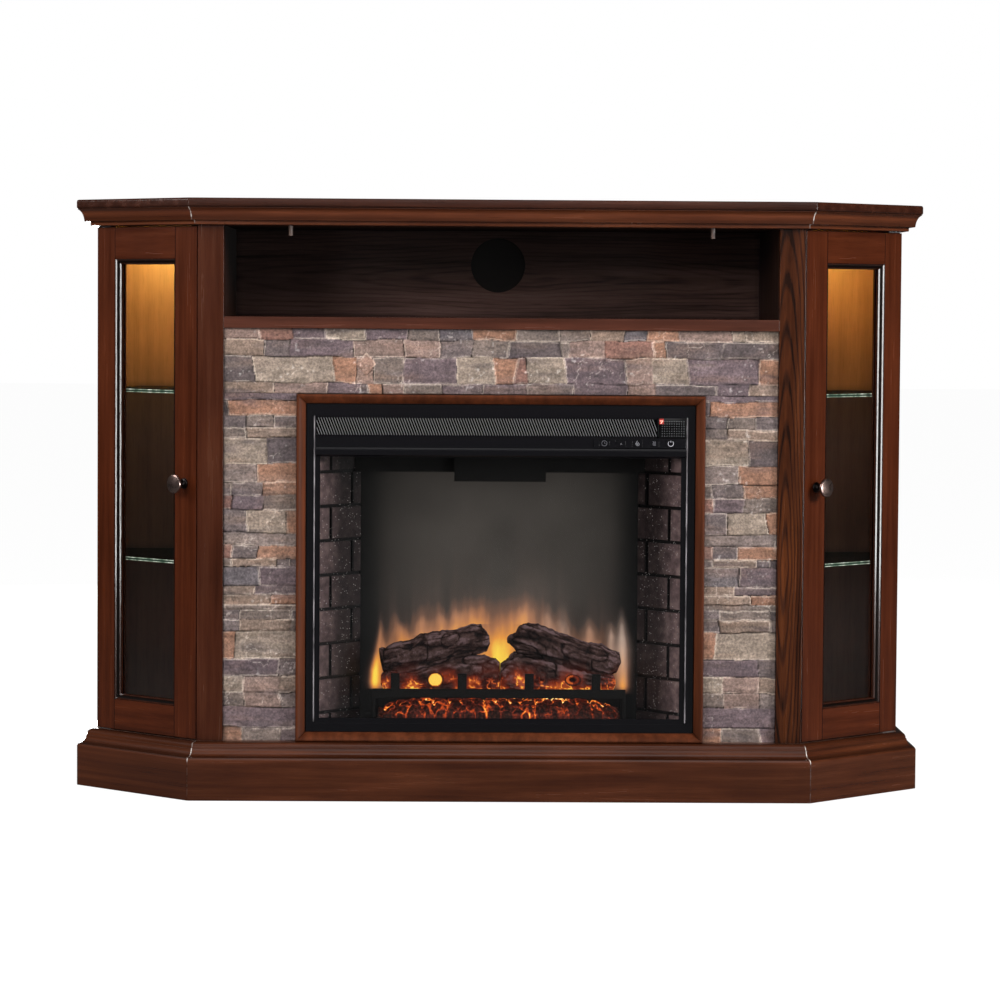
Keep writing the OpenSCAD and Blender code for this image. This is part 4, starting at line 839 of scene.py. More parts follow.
def makeFlameScreen():
    low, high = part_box("flame_screen")
    step = flameScreen["step"]
    columns = int((high.x - low.x) / step) + 1
    rows = int((high.z - low.z) / step) + 1
    xs, zs = meshGrid(low.x, high.x, rows, columns, (low.z, high.z))
    flat = np.stack([xs, np.zeros_like(xs), zs], 1)
    tall = flat * [1, 1, 0.22]
    sway = 0.0035 * layered(tall, 0.03, 5)
    wisp = smooth(-0.6, 0.7, layered(tall, 0.009, 8))
    crest = np.interp(xs * 1000, *zip(*flameScreen["crest"])) / 1000
    level = np.interp(xs * 1000, *zip(*flameScreen["level"]))
    reach = 0.026 * (0.6 + 0.9 * smooth(-0.7, 0.7, layered(tall * [1, 1, 0.2], 0.012, 9)))
    above = np.maximum(zs - crest, 0)
    veil = level * (np.exp(-(above / reach) ** 1.2) + 0.22 * np.exp(-above / 0.07) * smooth(0.0, 0.02, above))
    rest = 1 - np.minimum(veil, 1) * (0.78 + 0.34 * wisp) * smooth(0.201, 0.180, abs(xs))
    white, weight = np.full(len(xs), 0.02), np.full(len(xs), 0.2)
    for tongue in flameScreen["tongues"]:
        up, x, half, power, tint = np.array(tongue).T
        z = zs * 1000
        spread = 1.0 if up[0] < 200 else 1.7
        power = np.interp(z, up, power, left=0) * (1 if spread == 1 else 0.8)
        off = (xs * 1000 - np.interp(z, up, x) - 1000 * sway) / (spread * np.interp(z, up, half))
        tongue = power * np.exp(-np.abs(off) ** 2)
        rest *= 1 - np.minimum(tongue, 0.98) * (0.86 + 0.2 * wisp)
        white += tongue * np.interp(z, up, tint)
        weight += tongue
    heat = (1 - rest) * smooth(0.146, 0.168, zs)
    pale = white / weight
    mist = np.exp(-(abs(xs - 0.01) / 0.195) ** 3 - (abs(zs - 0.365) / 0.17) ** 3)
    mist = mist * (0.92 + 0.28 * layered(flat, 0.09, 12)) * smooth(0.15, 0.32, zs) * smooth(0.218, 0.165, abs(xs))
    # acrylic screen, smoked and frosted: the flame light from behind shows on it
    material, add, shader, _ = newMaterial("frostedScreen", "0c0c0b", Roughness=0.6, IOR=1.49)
    warm = add("Attribute", attribute_name="fireHeat").outputs["Fac"]
    fog = add("Attribute", attribute_name="mist").outputs["Fac"]
    white = add("Attribute", attribute_name="pale").outputs["Fac"]
    fire = add("ValToRGB", {"Fac": warm}, [
        (0.0, "000000"), (0.15, "291a14"), (0.32, "653f2a"), (0.5, "a8683a"), (0.72, "e69434"), (0.95, "ffd94a")])
    ghost = add("ValToRGB", {"Fac": warm}, [(0.0, "000000"), (0.3, "6b625c"), (0.6, "d8cabd"), (1.0, "fff2e4")])
    fire = add("Mix", {0: white, 6: fire, 7: ghost}, data_type="RGBA")
    grey = add("Mix", {0: fog, 6: linear("050505"), 7: linear("413d39")}, data_type="RGBA")
    light = add("Mix", {0: 1.0, 6: fire.outputs[2], 7: grey.outputs[2]}, data_type="RGBA", blend_type="ADD")
    feed(shader, {"Emission Color": light.outputs[2], "Emission Strength": 1.0, "Specular IOR Level": 0.08})
    points = np.stack([xs, np.full_like(xs, low.y), zs], 1)
    piece, border = closedSheet("glowingScreen", points, rows, columns, 1, high.y, material, False)
    for key, values in (("fireHeat", heat), ("mist", mist), ("pale", pale)):
        storeValue(piece, key, np.clip(np.concatenate([values, np.zeros(len(border))]), 0, 1))
    return piece


settle(makeFlameScreen(), "cabinet", "flame_screen")

logs = {
    "middle": -0.111, "across": 96, "ring": 0.0011,
    # each log: its ends, half its depth, the slope its bark follows, and the lines of its top and foot (millimetres)
    "left": [
        {"x": (-0.186, -0.0142), "depth": 0.024, "lean": 0.24,
         "top": [(-186, 227), (-171, 231), (-161, 236), (-138, 240), (-122, 250), (-104, 253), (-78, 255), (-58, 260),
                 (-42, 265), (-28, 266), (-25, 259), (-15, 248), (-14, 236)],
         "foot": [(-186, 222), (-184, 209), (-180, 192), (-173, 186), (-127, 190), (-88, 203), (-68, 212), (-47, 215),
                  (-19, 225), (-14, 236)]},
        {"x": (-0.183, 0.0016), "depth": 0.021, "lean": 0.16,
         "top": [(-183, 186), (-174, 198), (-127, 200), (-88, 212), (-68, 220), (-55, 219), (-38, 217), (-21, 216),
                 (-6, 213), (2, 205)],
         "foot": [(-183, 172), (-176, 161), (-109, 160), (2, 160)]}],
    "right": [
        {"x": (0.0125, 0.189), "depth": 0.024, "lean": -0.26,
         "top": [(12, 244), (16, 247), (25, 252), (32, 266), (46, 268), (61, 266), (85, 256), (105, 248), (134, 238),
                 (160, 234), (170, 229), (187, 221), (189, 208)],
         "foot": [(12, 240), (23, 229), (28, 220), (56, 213), (95, 201), (124, 187), (160, 182), (183, 193),
                  (189, 208)]},
        {"x": (0.0022, 0.181), "depth": 0.021, "lean": -0.14,
         "top": [(2, 204), (8, 208), (15, 214), (23, 224), (46, 222), (95, 211), (124, 200), (160, 194), (178, 188),
                 (181, 180)],
         "foot": [(2, 160), (98, 160), (176, 162), (181, 172)]}],
    # the burnt-through holes: x, z, half width, half height
    "holes": [(-0.0985, 0.1795, 0.0110, 0.0110), (0.1145, 0.1805, 0.0110, 0.0080)],
    # where the glow is strongest: x, z, half width, half height, strength
    "spots": [
        (0.030, 0.180, 0.006, 0.016, 0.75), (0.135, 0.165, 0.013, 0.006, 1.1), (-0.130, 0.172, 0.015, 0.010, 0.75),
        (-0.010, 0.165, 0.024, 0.006, 0.85), (0.165, 0.172, 0.008, 0.010, 0.8), (-0.060, 0.166, 0.010, 0.006, 0.6),
        (0.075, 0.168, 0.02, 0.008, 0.6)],
}


def makeLog(name, parts, seed, material):
    # each log is a run of rings whose top and foot follow the cast one's outline
    points, faces, glow, ash = [], [], [], []
    for part, cast in enumerate(parts):
        across, rings = logs["across"], int((cast["x"][1] - cast["x"][0]) / logs["ring"])
        xs = np.linspace(*cast["x"], rings)
        top = np.interp(xs * 1000, *zip(*cast["top"])) / 1000
        foot = np.interp(xs * 1000, *zip(*cast["foot"])) / 1000
        top = np.maximum(top + 0.0013 * wave(np.stack([xs, xs * 0, xs * 0], 1), 0.0055, seed + 40), foot + 0.002)
        a = np.linspace(0, 2 * np.pi, across, endpoint=False)
        x = np.repeat(xs, across)
        angle = np.tile(a, rings)
        end = np.repeat(np.sqrt(np.clip(1 - np.abs(np.linspace(-1, 1, rings)) ** 24, 0, 1)), across)
        middle, half = np.repeat((top + foot) / 2, across), np.repeat((top - foot) / 2, across)
        sine, cosine = np.sin(angle), np.cos(angle)
        y = logs["middle"] + 0.002 * part - cast["depth"] * np.sign(cosine) * np.abs(cosine) ** 0.65 * (0.6 + 0.4 * end)
        z = middle + half * np.sign(sine) * np.abs(sine) ** 0.85
        here = np.stack([x, y, z - cast["lean"] * x], 1)
        # bark: ridges that run along the log in broken plates, with deep cracks between them
        ridge = layered(here * [0.25, 1, 1], 0.0075, seed + part, 5)
        plate = smooth(-0.12, 0.12, wave(here * [0.35, 1, 1], 0.014, seed + 5 + part))
        crack = smooth(0.13, 0.0, abs(wave(here * [0.28, 1, 1], 0.010, seed + 7 + part)))
        crack = np.maximum(crack, 0.8 * smooth(0.10, 0.0, abs(wave(here * [0.8, 1, 1], 0.018, seed + 9 + part))))
        knot = layered(here * [0.7, 1, 1], 0.0034, seed + 11, 2)
        out = 0.0034 * ridge + 0.0018 * (plate - 0.5) - 0.0028 * crack + 0.0013 * knot
        y = y - out * np.sign(cosine) * np.abs(cosine) ** 0.5
        z = z + 0.6 * out * sine
        inHole = [((x - holeX) / halfX) ** 2 + ((z - holeZ) / halfZ) ** 2
                  for holeX, holeZ, halfX, halfZ in logs["holes"]]
        for where in inHole:
            y += np.where(cosine > 0, 0.012 * smooth(1.25, 0.85, where), 0)
        start = sum(len(p) for p in points)
        points.append(np.stack([x, y, z], 1))
        faces += [f[::-1] for f in gridFaces(rings, across, start, True)]
        faces.append(tuple(start + k for k in range(across)))
        faces.append(tuple(start + (rings - 1) * across + k for k in reversed(range(across))))
        # red light soaks through the thin lower walls, and orange shows in the cracks near the grate
        soak = 0.34 * smooth(0.226, 0.175, z) * smooth(-0.5, 0.4, wave(here, 0.020, seed + 20)) * (1 if part else 0.6)
        thread = smooth(0.16, 0.0, abs(wave(here * [0.8, 1, 1.2], 0.0070, seed + 22)))
        fleck = smooth(0.15, 0.7, wave(here, 0.0035, seed + 24))
        spot = 0.85 * smooth(0.202, 0.163, z) * smooth(-0.3, 0.5, wave(here, 0.015, seed + 26))
        for spotX, spotZ, halfX, halfZ, power in logs["spots"]:
            near = ((x - spotX) / halfX) ** 2 + ((z - spotZ) / halfZ) ** 2
            spot = np.maximum(spot, 1.25 * power * np.exp(-near))
        ember = soak + spot * np.clip(0.25 + 0.75 * thread + 0.45 * fleck, 0, 1.2)
        left, right = inHole
        ember = ember * (1 - smooth(1.6, 1.0, left)) + smooth(1.05, 0.8, left)
        eye = smooth(0.15, 0.5, abs(np.sqrt(right) - 0.15)) * np.where(x < logs["holes"][1][0], 0.62, 0.36)
        ember = ember * (1 - smooth(1.6, 1.0, right)) + eye * smooth(1.05, 0.8, right)
        glow.append(np.clip(ember * (cosine > -0.3), 0, 1))
        # painted light: the tops of the logs are drawn paler
        grey = 0.36 + 0.6 * ridge + 0.35 * knot + 0.2 * (plate - 0.5) + 0.2 * smooth(0.2, 1, sine) - 0.6 * crack
        ash.append(np.clip(grey, 0, 1))
    piece = meshPiece(name, np.concatenate(points), faces, material)
    storeValue(piece, "glow", np.concatenate(glow))
    storeValue(piece, "ash", np.concatenate(ash))
    return piece


def makeCharredBark():
    # cast resin log painted as charred bark: matt grey-violet ridges, black cracks, and red light
    # from within where the casting is thin
    material, add, shader, where = newMaterial("charredBark", Roughness=0.85)
    ash = add("Attribute", attribute_name="ash").outputs["Fac"]
    glow = add("Attribute", attribute_name="glow").outputs["Fac"]
    grit = add("TexNoise", {"Vector": where, "Scale": 500.0, "Detail": 3.0})
    tone = add("Math", (grit, 0.5, ash), operation="MULTIPLY_ADD")
    colour = add("ValToRGB", {"Fac": tone}, [(0.25, "0c0605"), (0.55, "281a17"), (0.8, "3f2e2b"), (1.0, "5c494a")])
    burnt = add("Mix", {0: glow, 6: colour, 7: linear("3a1408")}, data_type="RGBA")
    fire = add("ValToRGB", {"Fac": glow}, [
        (0.03, "000000"), (0.2, "330e07"), (0.42, "74260f"), (0.65, "d0642a"), (0.82, "f3a03c"), (1.0, "ffd458")])
    bump = add("Bump", {"Strength": 0.6, "Distance": 0.0006, "Height": grit})
    feed(shader, {"Base Color": burnt.outputs[2], "Emission Color": fire, "Emission Strength": 1.0, "Normal": bump})
    return material


bark = dull(makeCharredBark(), 0.12)
for side, seed in (("left", 31), ("right", 47)):
    settle(makeLog(side + "Log", logs[side], seed, bark), "cabinet", "log_" + side)

embers = {
    "half": 0.187, "front": -0.143, "rear": -0.086, "floor": 0.1151, "high": 0.0395,
    "coal": (0.020, 0.0124), "slope": 0.045, "step": 0.0011, "rows": 64,
}


def makeEmberBed():
    step, half = embers["step"], embers["half"]
    columns, rows = int(2 * half / step) + 1, embers["rows"]
    xs, ts = meshGrid(-half, half, rows, columns)
    flat = np.stack([xs, ts * embers["slope"], np.zeros_like(xs)], 1)
    warped = flat + 0.004 * np.stack([layered(flat, 0.02, 61), layered(flat, 0.02, 62), 0 * xs], 1)
    # coals: jittered cells, each a low dome with a glowing seam round it
    grid = warped[:, :2] / embers["coal"]
    base = np.floor(grid)
    near = np.full((len(xs), 2), 9.0)
    rng = np.random.default_rng(5)
    jitter = rng.uniform(0.12, 0.88, (64, 64, 2))
    for dx in (-1, 0, 1):
        for dz in (-1, 0, 1):
            c = base + [dx, dz]
            j = jitter[c[:, 0].astype(int) % 64, c[:, 1].astype(int) % 64]
            d = np.linalg.norm(c + j - grid, axis=1)
            closer = d < near[:, 0]
            near[:, 1] = np.where(closer, near[:, 0], np.minimum(near[:, 1], d))
            near[:, 0] = np.where(closer, d, near[:, 0])
    seam = near[:, 1] - near[:, 0]
    end = 1 - np.abs(xs / half) ** 6 * 0.55
    rise = end * (0.012 + 0.0175 * np.sin(np.pi / 2 * np.minimum(1, 1.5 * ts)) ** 0.7)
    rise += 0.0050 * smooth(0, 0.5, seam) + 0.0012 * layered(flat, 0.006, 64)
    y = embers["front"] + (embers["rear"] - embers["front"]) * ts
    z = embers["floor"] + np.minimum(rise, embers["high"])
    where = smooth(-0.5, 0.6, layered(flat, 0.03, 66))
    thin = smooth(0.22, 0.02, seam + 0.10 * wave(flat, 0.004, 67))
    curl = flat * [1, 1.6, 1] + 0.006 * np.stack([layered(flat, 0.012, 71), layered(flat, 0.012, 72), 0 * xs], 1)
    threads = smooth(0.34, 0.0, abs(wave(curl, 0.0105, 68))) * smooth(-0.45, 0.3, wave(flat, 0.02, 69))
    finer = smooth(0.2, 0.0, abs(wave(curl, 0.0055, 75))) * smooth(-0.1, 0.5, wave(flat, 0.016, 76))
    threads = np.maximum(threads, 0.8 * finer)
    spark = smooth(0.25, 0.8, wave(curl, 0.004, 73))
    rear = (0.42 + 0.62 * smooth(0.30, 0.62, ts)) * (0.62 + 0.5 * smooth(-0.35, 0.4, layered(flat, 0.018, 77)))
    glow = (0.8 * thin * where + 1.15 * threads * (0.6 + 0.4 * spark) + 0.4 * spark * where + 0.14) * rear
    glow = np.clip(glow * smooth(0.19, 0.172, abs(xs)), 0, 1)
    points = np.stack([xs, y, z], 1)
    piece, border = closedSheet("emberBed", points, rows, columns, 2, embers["floor"], emberFinish)
    storeValue(piece, "glow", np.concatenate([glow, np.zeros(len(border))]))
    return piece


def makeEmberFinish():
    # clear orange resin over a lamp, with black paint rubbed over its high places
    material, add, shader, where = newMaterial("lampLitEmbers", Roughness=0.7)
    glow = add("Attribute", attribute_name="glow").outputs["Fac"]
    grit = add("TexNoise", {"Vector": where, "Scale": 260.0, "Detail": 4.0})
    colour = add("ValToRGB", {"Fac": grit}, [(0.3, "0a0504"), (0.55, "1c100c"), (0.75, "321d16")])
    heat = add("Math", (grit, 0.5, -0.25), operation="MULTIPLY_ADD")
    heat = add("Math", (glow, heat), operation="ADD")
    fire = add("ValToRGB", {"Fac": heat}, [
        (0.05, "080100"), (0.22, "40120a"), (0.4, "a83e12"), (0.58, "f0963a"), (0.8, "ffe592")])
    feed(shader, {"Base Color": colour, "Emission Color": fire, "Emission Strength": 1.7})
    return material


emberFinish = dull(makeEmberFinish(), 0.12)
settle(makeEmberBed(), "cabinet", "ember_bed")
print("firebox filled")


def grow(name, tree, sizes):
    # runs a node tree once and keeps the result as a plain mesh
    piece = meshPiece(name, [(0, 0, 0)], [], frameBlack)
    shape = piece.modifiers.new("shape", "NODES")
    shape.node_group = tree
    for socket in tree.interface.items_tree:
        if socket.in_out == "INPUT" and socket.name in sizes:
            shape[socket.identifier] = sizes[socket.name]
    keep(piece)
    return piece


def newTree(name, inputs):
    tree = bpy.data.node_groups.new(name, "GeometryNodeTree")
    for label, kind in inputs.items():
        tree.interface.new_socket(label, in_out="INPUT", socket_type="NodeSocket" + kind)
    tree.interface.new_socket("Mesh", in_out="OUTPUT", socket_type="NodeSocketGeometry")
    add = partial(addNode, tree)
    return tree, add, add("NodeGroupInput").outputs


def endTree(tree, add, shape, material):
    plain = add("GeometryNodeRealizeInstances", shape)
    if material:
        plain = add("GeometryNodeSetMaterial", {0: plain, "Material": material})
    add("NodeGroupOutput", plain)
    return tree


outlet = {
    "left": -0.2847, "right": 0.2412, "bottom": 0.5581, "top": 0.5885, "front": -0.1625, "thick": 0.0010,
    "rim": 0.0022, "pitch": 0.0041, "bar": 0.0008, "lean": 0.0100,
}


def makeOutletTree(material):
    # slanted bars in a row, inside a rim of four strips
    tree, add, given = newTree("outletBars", {"Width": "Float", "Height": "Float", "Rim": "Float", "Pitch": "Float",
                                              "Bar": "Float", "Lean": "Float", "Thick": "Float", "Corner": "Vector"})
    wide, high, rim, thick = (given[key] for key in ("Width", "Height", "Rim", "Thick"))
    inner = add("Math", (rim, -2.0, high), operation="MULTIPLY_ADD")
    span = add("Math", (rim, -2.0, wide), operation="MULTIPLY_ADD")
    free = add("Math", (span, given["Lean"]), operation="ADD")
    count = add("Math", (free, given["Pitch"]), operation="DIVIDE")
    angle = add("Math", (given["Lean"], inner), operation="ARCTAN2")
    minus = add("Math", (angle, -1.0), operation="MULTIPLY")
    length = add("Math", angle, operation="COSINE")
    length = add("Math", (inner, length), operation="DIVIDE")
    size = add("CombineXYZ", (given["Bar"], thick, length))
    bar = add("GeometryNodeMeshCube", {"Size": size})
    bar = add("GeometryNodeTransform", {0: bar, "Rotation": add("CombineXYZ", {1: minus})})
    first = add("Math", (given["Lean"], -0.5, rim), operation="MULTIPLY_ADD")
    middle = add("Math", (high, 0.5), operation="MULTIPLY")
    centre = add("Math", (wide, 0.5), operation="MULTIPLY")
    start = add("CombineXYZ", {0: first, 2: middle})
    step = add("CombineXYZ", given["Pitch"])
    row = add("GeometryNodeMeshLine", {"Count": count, "Start Location": start, "Offset": step})
    bars = add("GeometryNodeInstanceOnPoints", {"Points": row, "Instance": bar})
    bars = add("GeometryNodeRealizeInstances", bars)

    def block(width, height, x, z, depth=thick):
        made = add("GeometryNodeMeshCube", {"Size": add("CombineXYZ", (width, depth, height))})
        place = add("CombineXYZ", {0: x, 2: z})
        return add("GeometryNodeTransform", {0: made, "Translation": place}).outputs[0]

    # the bars at both ends are cut off by the rim
    trimmed = add("GeometryNodeMeshBoolean", operation="INTERSECT")
    feed(trimmed, {1: bars})
    feed(trimmed, {1: block(span, inner, centre, middle, 0.01)})
    bars = add("GeometryNodeSetMaterial", {0: trimmed, "Material": material})
    half = add("Math", (rim, 0.5), operation="MULTIPLY")
    top = add("Math", (high, half), operation="SUBTRACT")
    right = add("Math", (wide, half), operation="SUBTRACT")
    strips = add("GeometryNodeJoinGeometry")
    for strip in ((wide, rim, centre, half), (wide, rim, centre, top),
                  (rim, high, half, middle), (rim, high, right, middle)):
        feed(strips, block(*strip))
    strips = add("GeometryNodeSetMaterial", {0: strips, "Material": frameBlack})
    whole = add("GeometryNodeJoinGeometry", strips)
    feed(whole, bars)
    return endTree(tree, add, add("GeometryNodeTransform", {0: whole, "Translation": given["Corner"]}), None)


# painted sheen: the bars are drawn light grey for their shine
sheenPaintedBars = makePaintedSteel("pressedOutletBars", "7e7e82", 0.35)
grille = grow("outletGrille", makeOutletTree(sheenPaintedBars), {
    "Width": outlet["right"] - outlet["left"], "Height": outlet["top"] - outlet["bottom"], "Rim": outlet["rim"],
    "Pitch": outlet["pitch"], "Bar": outlet["bar"], "Lean": outlet["lean"], "Thick": outlet["thick"],
    "Corner": (outlet["left"], outlet["front"] + outlet["thick"] / 2, outlet["bottom"])})
settle(grille, "cabinet", "outlet_grille")


def box(name, low, high, material, round_=0.0):
    work = bmesh.new()
    bmesh.ops.create_cube(work, size=1.0)
    middle = (Vector(low) + Vector(high)) / 2
    size = Vector(high) - Vector(low)
    bmesh.ops.transform(work, matrix=Matrix.Translation(middle) @ Matrix.Diagonal((*size, 1)), verts=work.verts)
    if round_:
        bmesh.ops.bevel(work, geom=work.edges, offset=round_, segments=3, profile=0.5, affect="EDGES")
    mesh = bpy.data.meshes.new(name)
    work.to_mesh(mesh)
    work.free()
    mesh.materials.append(material)
    mesh.shade_smooth()
    mesh.set_sharp_from_angle(angle=math.radians(40))
    return toScene(name, mesh)


# painted shade: a flat black sheet behind the bars stands for the shade inside the outlet
outletShade = dull(makePlain("outletShadeBlack", "020202", 1.0), 0.0)
shadeSheet = box("outletShadeSheet", (outlet["left"] + 0.001, outlet["front"] + 0.0016, outlet["bottom"] + 0.001),
                 (outlet["right"] - 0.001, outlet["front"] + 0.0019, outlet["top"] - 0.001), outletShade)
settle(shadeSheet, "cabinet")

display = {
    "low": (0.2415, -0.1652, 0.5581), "high": (0.2847, -0.159, 0.5885),
    "dot": 0.00055, "pitch": 0.0037, "columns": 10, "rows": 7, "corner": (0.2470, -0.16528, 0.5612),
}


def makeDotTree(material):
    tree, add, given = newTree("displayDots", {"Pitch": "Float", "Dot": "Float", "Corner": "Vector"})
    columns, rows = display["columns"], display["rows"]
    wide = add("Math", (given["Pitch"], columns - 1.0), operation="MULTIPLY")
    tall = add("Math", (given["Pitch"], rows - 1.0), operation="MULTIPLY")
    grid = add("GeometryNodeMeshGrid", {"Size X": wide, "Size Y": tall, "Vertices X": columns, "Vertices Y": rows})
    half = add("CombineXYZ", {0: add("Math", (wide, 0.5), operation="MULTIPLY"),
                              1: add("Math", (tall, 0.5), operation="MULTIPLY")})
    grid = add("GeometryNodeTransform", {0: grid, "Translation": half})
    turn = {"Rotation": (math.pi / 2, 0, 0), "Translation": given["Corner"]}
    grid = add("GeometryNodeTransform", {0: grid, **turn})
    dot = add("GeometryNodeMeshUVSphere", {"Segments": 8, "Rings": 5, "Radius": given["Dot"]})
    dots = add("GeometryNodeInstanceOnPoints", {"Points": grid, "Instance": dot})
    return endTree(tree, add, dots, material)


smoked = makePlain("smokedPane", "060607", 0.16)
settle(box("displayPane", display["low"], display["high"], smoked, 0.0005), "cabinet", "display_window")
dots = grow("displayDots", makeDotTree(makePlain("dimDots", "77777a", 0.5, "8c8c90", 0.25)),
            {"Pitch": display["pitch"], "Dot": display["dot"], "Corner": display["corner"]})
settle(dots, "cabinet")


def stroke(lines, width, front, back):
    # each line becomes a thin closed ribbon that stands on the face behind it
    points, faces = [], []
    for line in lines:
        flat = np.array(line, float)
        ahead = np.gradient(flat, axis=0)
        across = np.stack([-ahead[:, 1], ahead[:, 0]], 1) / (np.linalg.norm(ahead, axis=1, keepdims=True) + 1e-9)
        across = across * width / 2
        start, n = len(points), len(flat)
        for p, d in zip(flat, across):
            for y, side in ((front, 1), (front, -1), (back, -1), (back, 1)):
                points.append((p[0] + side * d[0], y, p[1] + side * d[1]))
        for k in range(n - 1):
            for c in range(4):
                d = (c + 1) % 4
                faces.append((start + 4 * k + c, start + 4 * k + d, start + 4 * k + 4 + d, start + 4 * k + 4 + c))
        faces.append((start + 3, start + 2, start + 1, start))
        faces.append(tuple(start + 4 * n - 4 + c for c in range(4)))
    return points, faces


def arc(x, z, radius, first, last, count=28):
    return [(x + radius * math.cos(math.radians(first + (last - first) * k / (count - 1))),
             z + radius * math.sin(math.radians(first + (last - first) * k / (count - 1)))) for k in range(count)]


keys = {"z": 0.5496, "front": -0.16562, "back": -0.16535, "width": 0.0006}
# each symbol: its button's x, its paint, its glow and its lines
symbols = {
    "timer": (0.1584, "54545a", 0.1, lambda x, z: [
        arc(x, z, 0.0040, 0, 360), [(x, z + 0.0022), (x, z), (x + 0.0014, z - 0.0004)]]),
    "dimmer": (0.1839, "85858a", 0.45, lambda x, z: [arc(x, z - 0.001, 0.0004, 0, 360, 12)]),
    "flame": (0.2094, "85858a", 0.33, lambda x, z: [
        [(x - 0.003, z + 0.0006), (x - 0.0022, z - 0.0022), (x + 0.0002, z - 0.0036), (x + 0.0024, z - 0.0022),
         (x + 0.0026, z)],
        [(x - 0.0004, z + 0.0040), (x - 0.0018, z + 0.001), (x - 0.0008, z - 0.0012), (x + 0.0008, z - 0.0018)],
        [(x + 0.0010, z + 0.0020), (x + 0.0004, z), (x + 0.0012, z - 0.0008)]]),
    "heat": (0.2349, "5c5c62", 0.1, lambda x, z: [
        [(x + c + 0.0005 * math.sin(t * 1.4), z - 0.0034 + 0.0068 * t / 8) for t in range(9)]
        for c in (-0.0016, 0.0, 0.0016)]),
    "power": (0.2604, "9a9aa0", 1.1, lambda x, z: [arc(x, z, 0.0041, 132, 408), [(x, z + 0.0044), (x, z + 0.0018)]]),
}
for key, (x, code, strength, draw) in symbols.items():
    ink = makePlain(key + "Ink", code, 0.5, "a4a2a8", strength)
    ribbons = stroke(draw(x, keys["z"]), keys["width"], keys["front"], keys["back"])
    settle(meshPiece(key + "Symbol", *ribbons, ink, False), key + "_button")

indicator = {
    "x": 0.2459, "z": 0.5835, "half": (0.0034, 0.0042),
    "lamp": (-0.16545, -0.165), "bolt": (-0.16575, -0.1654),    # front and back
}


def makeIndicator():
    # a red lamp behind the pane with a small bolt in its middle
    x, z = indicator["x"], indicator["z"]
    wide, high = indicator["half"]
    (front, back), glow = indicator["lamp"], makePlain("redLamp", "40100c", 0.5, "b01c10", 0.9)
    lamp = box("redLamp", (x - wide, front, z - high), (x + wide, back, z + high), glow, 0.0002)
    bolt = [(x - 0.0026, z + 0.0008), (x + 0.0020, z + 0.0012), (x - 0.0012, z - 0.0032)]
    lit = makePlain("litBolt", "ffb0a0", 0.5, "ffb4a4", 1.2)
    return lamp, meshPiece("redBolt", *stroke([bolt], 0.0013, *indicator["bolt"]), lit, False)


for piece in makeIndicator():
    settle(piece, "cabinet")

crumbs = {
    "small": 0.35, "large": 1.0, "size": 0.0016, "seed": 7, "density": 210000.0,
    "x": 0.2125, "y": -0.128, "z": 0.1160, "width": 0.040, "depth": 0.036,
}


def makeCrumbTree(material):
    # crushed coal scattered over the firebox floor
    tree, add, given = newTree("coalCrumbs", {"Density": "Float", "Size": "Float", "Centre": "Vector", "Width": "Float",
                                              "Depth": "Float"})
    seed = crumbs["seed"]
    patch = {"Size X": given["Width"], "Size Y": given["Depth"], "Vertices X": 2, "Vertices Y": 2}
    patch = add("GeometryNodeTransform", {0: add("GeometryNodeMeshGrid", patch), "Translation": given["Centre"]})
    spots = add("GeometryNodeDistributePointsOnFaces", {0: patch, "Density": given["Density"], "Seed": seed})
    crumb = add("GeometryNodeMeshIcoSphere", {"Radius": given["Size"], "Subdivisions": 1})
    size = add("FunctionNodeRandomValue", {2: crumbs["small"], 3: crumbs["large"], "Seed": seed}, data_type="FLOAT")
    turn = add("FunctionNodeRandomValue", {1: (6.28, 6.28, 6.28), "Seed": seed + 1}, data_type="FLOAT_VECTOR")
    heap = {"Points": spots, "Instance": crumb, "Rotation": turn, "Scale": size.outputs[1]}
    return endTree(tree, add, add("GeometryNodeInstanceOnPoints", heap), material)


crumbTree = makeCrumbTree(makePlain("crushedCoal", "2b2727", 0.35))
for name, side in (("Left", -1), ("Right", 1)):
    heap = grow("coalCrumbs" + name, crumbTree, {
        "Density": crumbs["density"], "Size": crumbs["size"], "Centre": (side * crumbs["x"], crumbs["y"], crumbs["z"]),
        "Width": crumbs["width"], "Depth": crumbs["depth"]})
    settle(heap, "cabinet")
print("repeats made")


# softboxes round the object, in metres and watts
studio = {
    "right": {"place": (4.2, -2.6, 2.3), "size": 1.6, "power": 250},
    "left": {"place": (-3.0, -4.6, 2.4), "size": 2.0, "power": 150},
    # this one is lower than the mantel's top, which would mirror it
    "behind": {"place": (-0.8, 4.2, 0.5), "aim": (0, 0.2, 0.5), "size": 2.2, "power": 70, "tall": 0.6},
    "above": {"place": (0.2, -2.6, 3.6), "aim": (0, 0, 0.5), "size": 2.0, "power": 14},
    "leftWall": {"place": (-2.6, -0.5, 1.68), "aim": (-0.55, 0, 0.75), "size": 0.8, "power": 24},
    "card": {"place": (-0.35, -1.0, 0.012), "aim": (-0.35, -1.0, 1), "size": 2.8, "power": 9, "tall": 0.42},
    # windows that only the shine sees: fine bright lines on edges, beads and knobs
    "lowGlint": {"place": (4.2, -2.6, 0.42), "size": 1.6, "power": 120, "tall": 0.8},
    "leftGlint": {"place": (-1.9, -3.3, 1.1), "aim": (0, -0.1, 0.6), "size": 0.34, "power": 24, "tall": 2.15},
    "frontGlint": {"place": (0, -5.6, 1.95), "aim": (0, 0, 1.0), "size": 3.0, "power": 12, "tall": 1.2},
    "rightGlint": {"place": (1.9, -3.3, 1.1), "aim": (0, -0.1, 0.6), "size": 0.34, "power": 24, "tall": 2.15},
}
# the warm puck lights, with each one's side, power and tint
puck = {
    "x": 0.529, "y": 0.0635, "z": 0.862, "aim": (0.17, 0.80), "size": 0.04,
    "lamps": ((-1, 1.1, "ffd86b"), (1, 0.76, "ffce5d")),
}
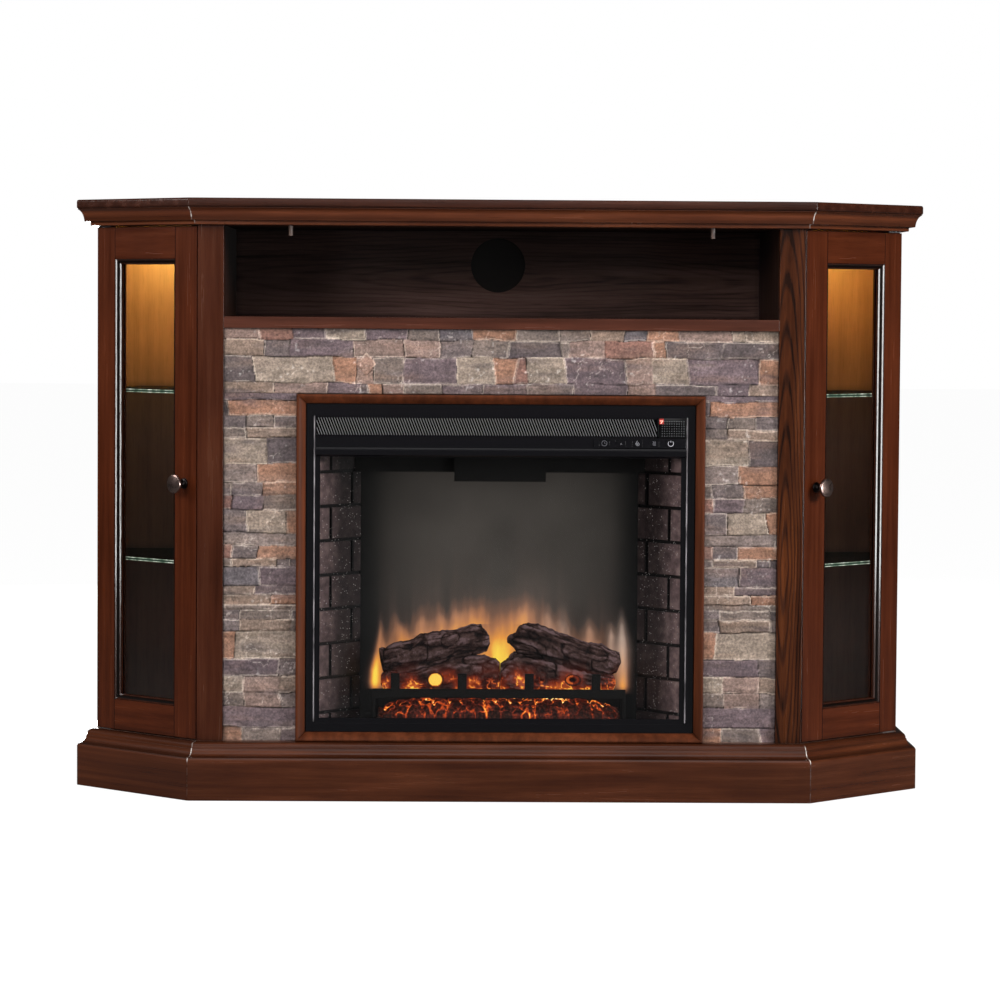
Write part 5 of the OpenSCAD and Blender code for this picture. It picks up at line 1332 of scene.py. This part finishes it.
# how bright the white walls are to the camera, to soft light and to the shine
room = {"seen": 1.0, "soft": 0.22, "shine": 0.03}


def addArea(name, place, size, power, aim=(0, 0, 0.45), colour="ffffff", tall=None):
    data = bpy.data.lights.new(name, "AREA")
    data.energy = power
    data.color = linear(colour)[:3]
    data.size = size
    if tall:
        data.shape = "RECTANGLE"
        data.size_y = tall
    lamp = toScene(name, data)
    way = Vector(aim) - Vector(place)
    lamp.matrix_world = Matrix.Translation(place) @ way.to_track_quat("-Z", "Y").to_matrix().to_4x4()
    return lamp


for name, lamp in studio.items():
    softbox = addArea(name + "Softbox", **lamp)
    softbox.visible_camera = False
    softbox.visible_diffuse = "Glint" not in name
    # the mantel's top would mirror the two big ones
    softbox.visible_glossy = name not in ("card", "left", "right")
for side, power, tint in puck["lamps"]:
    x = side * puck["x"]
    addArea("cabinetLamp", (x, puck["y"], puck["z"]), puck["size"], power, (x, *puck["aim"]), tint)

sweep = {"half": 14, "z": -0.0005}
backdrop = {"radius": 0.0455, "y": 0.2006, "z": 0.824, "sides": 48}


def makeFloor():
    # white paper sweep: the camera sees it lit evenly, with the faintest shadow on it
    material, add, shader, _ = newMaterial("paperSweep", "4c4c4c", Roughness=0.9)
    bare = add("BsdfDiffuse", {0: linear("606060")})
    lit = add("AddShader", (bare, add("Emission", {"Strength": 0.95})))
    seen = add("LightPath").outputs["Is Camera Ray"]
    both = add("MixShader", (seen, shader, lit))
    feed(material.node_tree.nodes["Material Output"], {"Surface": both})
    half, z = sweep["half"], sweep["z"]
    corners = [(-half, -half, z), (half, -half, z), (half, half * 2, z), (-half, half * 2, z)]
    meshPiece("paperFloor", corners, [(0, 1, 2, 3)], material, False)


def makeHoleBackdrop():
    # painted shade: a dark disc behind the cable hole stands for the shaded wall such a mantel stands against
    holeShade = newMaterial("holeShadeDark", "1c1614", Roughness=1.0)[0]
    radius, y, z, sides = backdrop.values()
    disc = [(radius * math.cos(2 * math.pi * k / sides), y, z + radius * math.sin(2 * math.pi * k / sides))
            for k in range(sides)]
    meshPiece("holeBackdrop", disc, [tuple(range(sides))], holeShade, False)


def makeWalls():
    world = bpy.data.worlds.new("studioWalls")
    world.use_nodes = True
    bpy.context.scene.world = world
    add = partial(addNode, world.node_tree)
    ray = add("LightPath")
    level = add("MapRange", {0: ray.outputs["Is Glossy Ray"], 3: room["soft"], 4: room["shine"]})
    level = add("Mix", {0: ray.outputs["Is Camera Ray"], 2: level, 3: room["seen"]})
    feed(world.node_tree.nodes["Background"], {"Color": (1, 1, 1, 1), "Strength": level})


makeFloor()
makeHoleBackdrop()
makeWalls()
print("lights set")
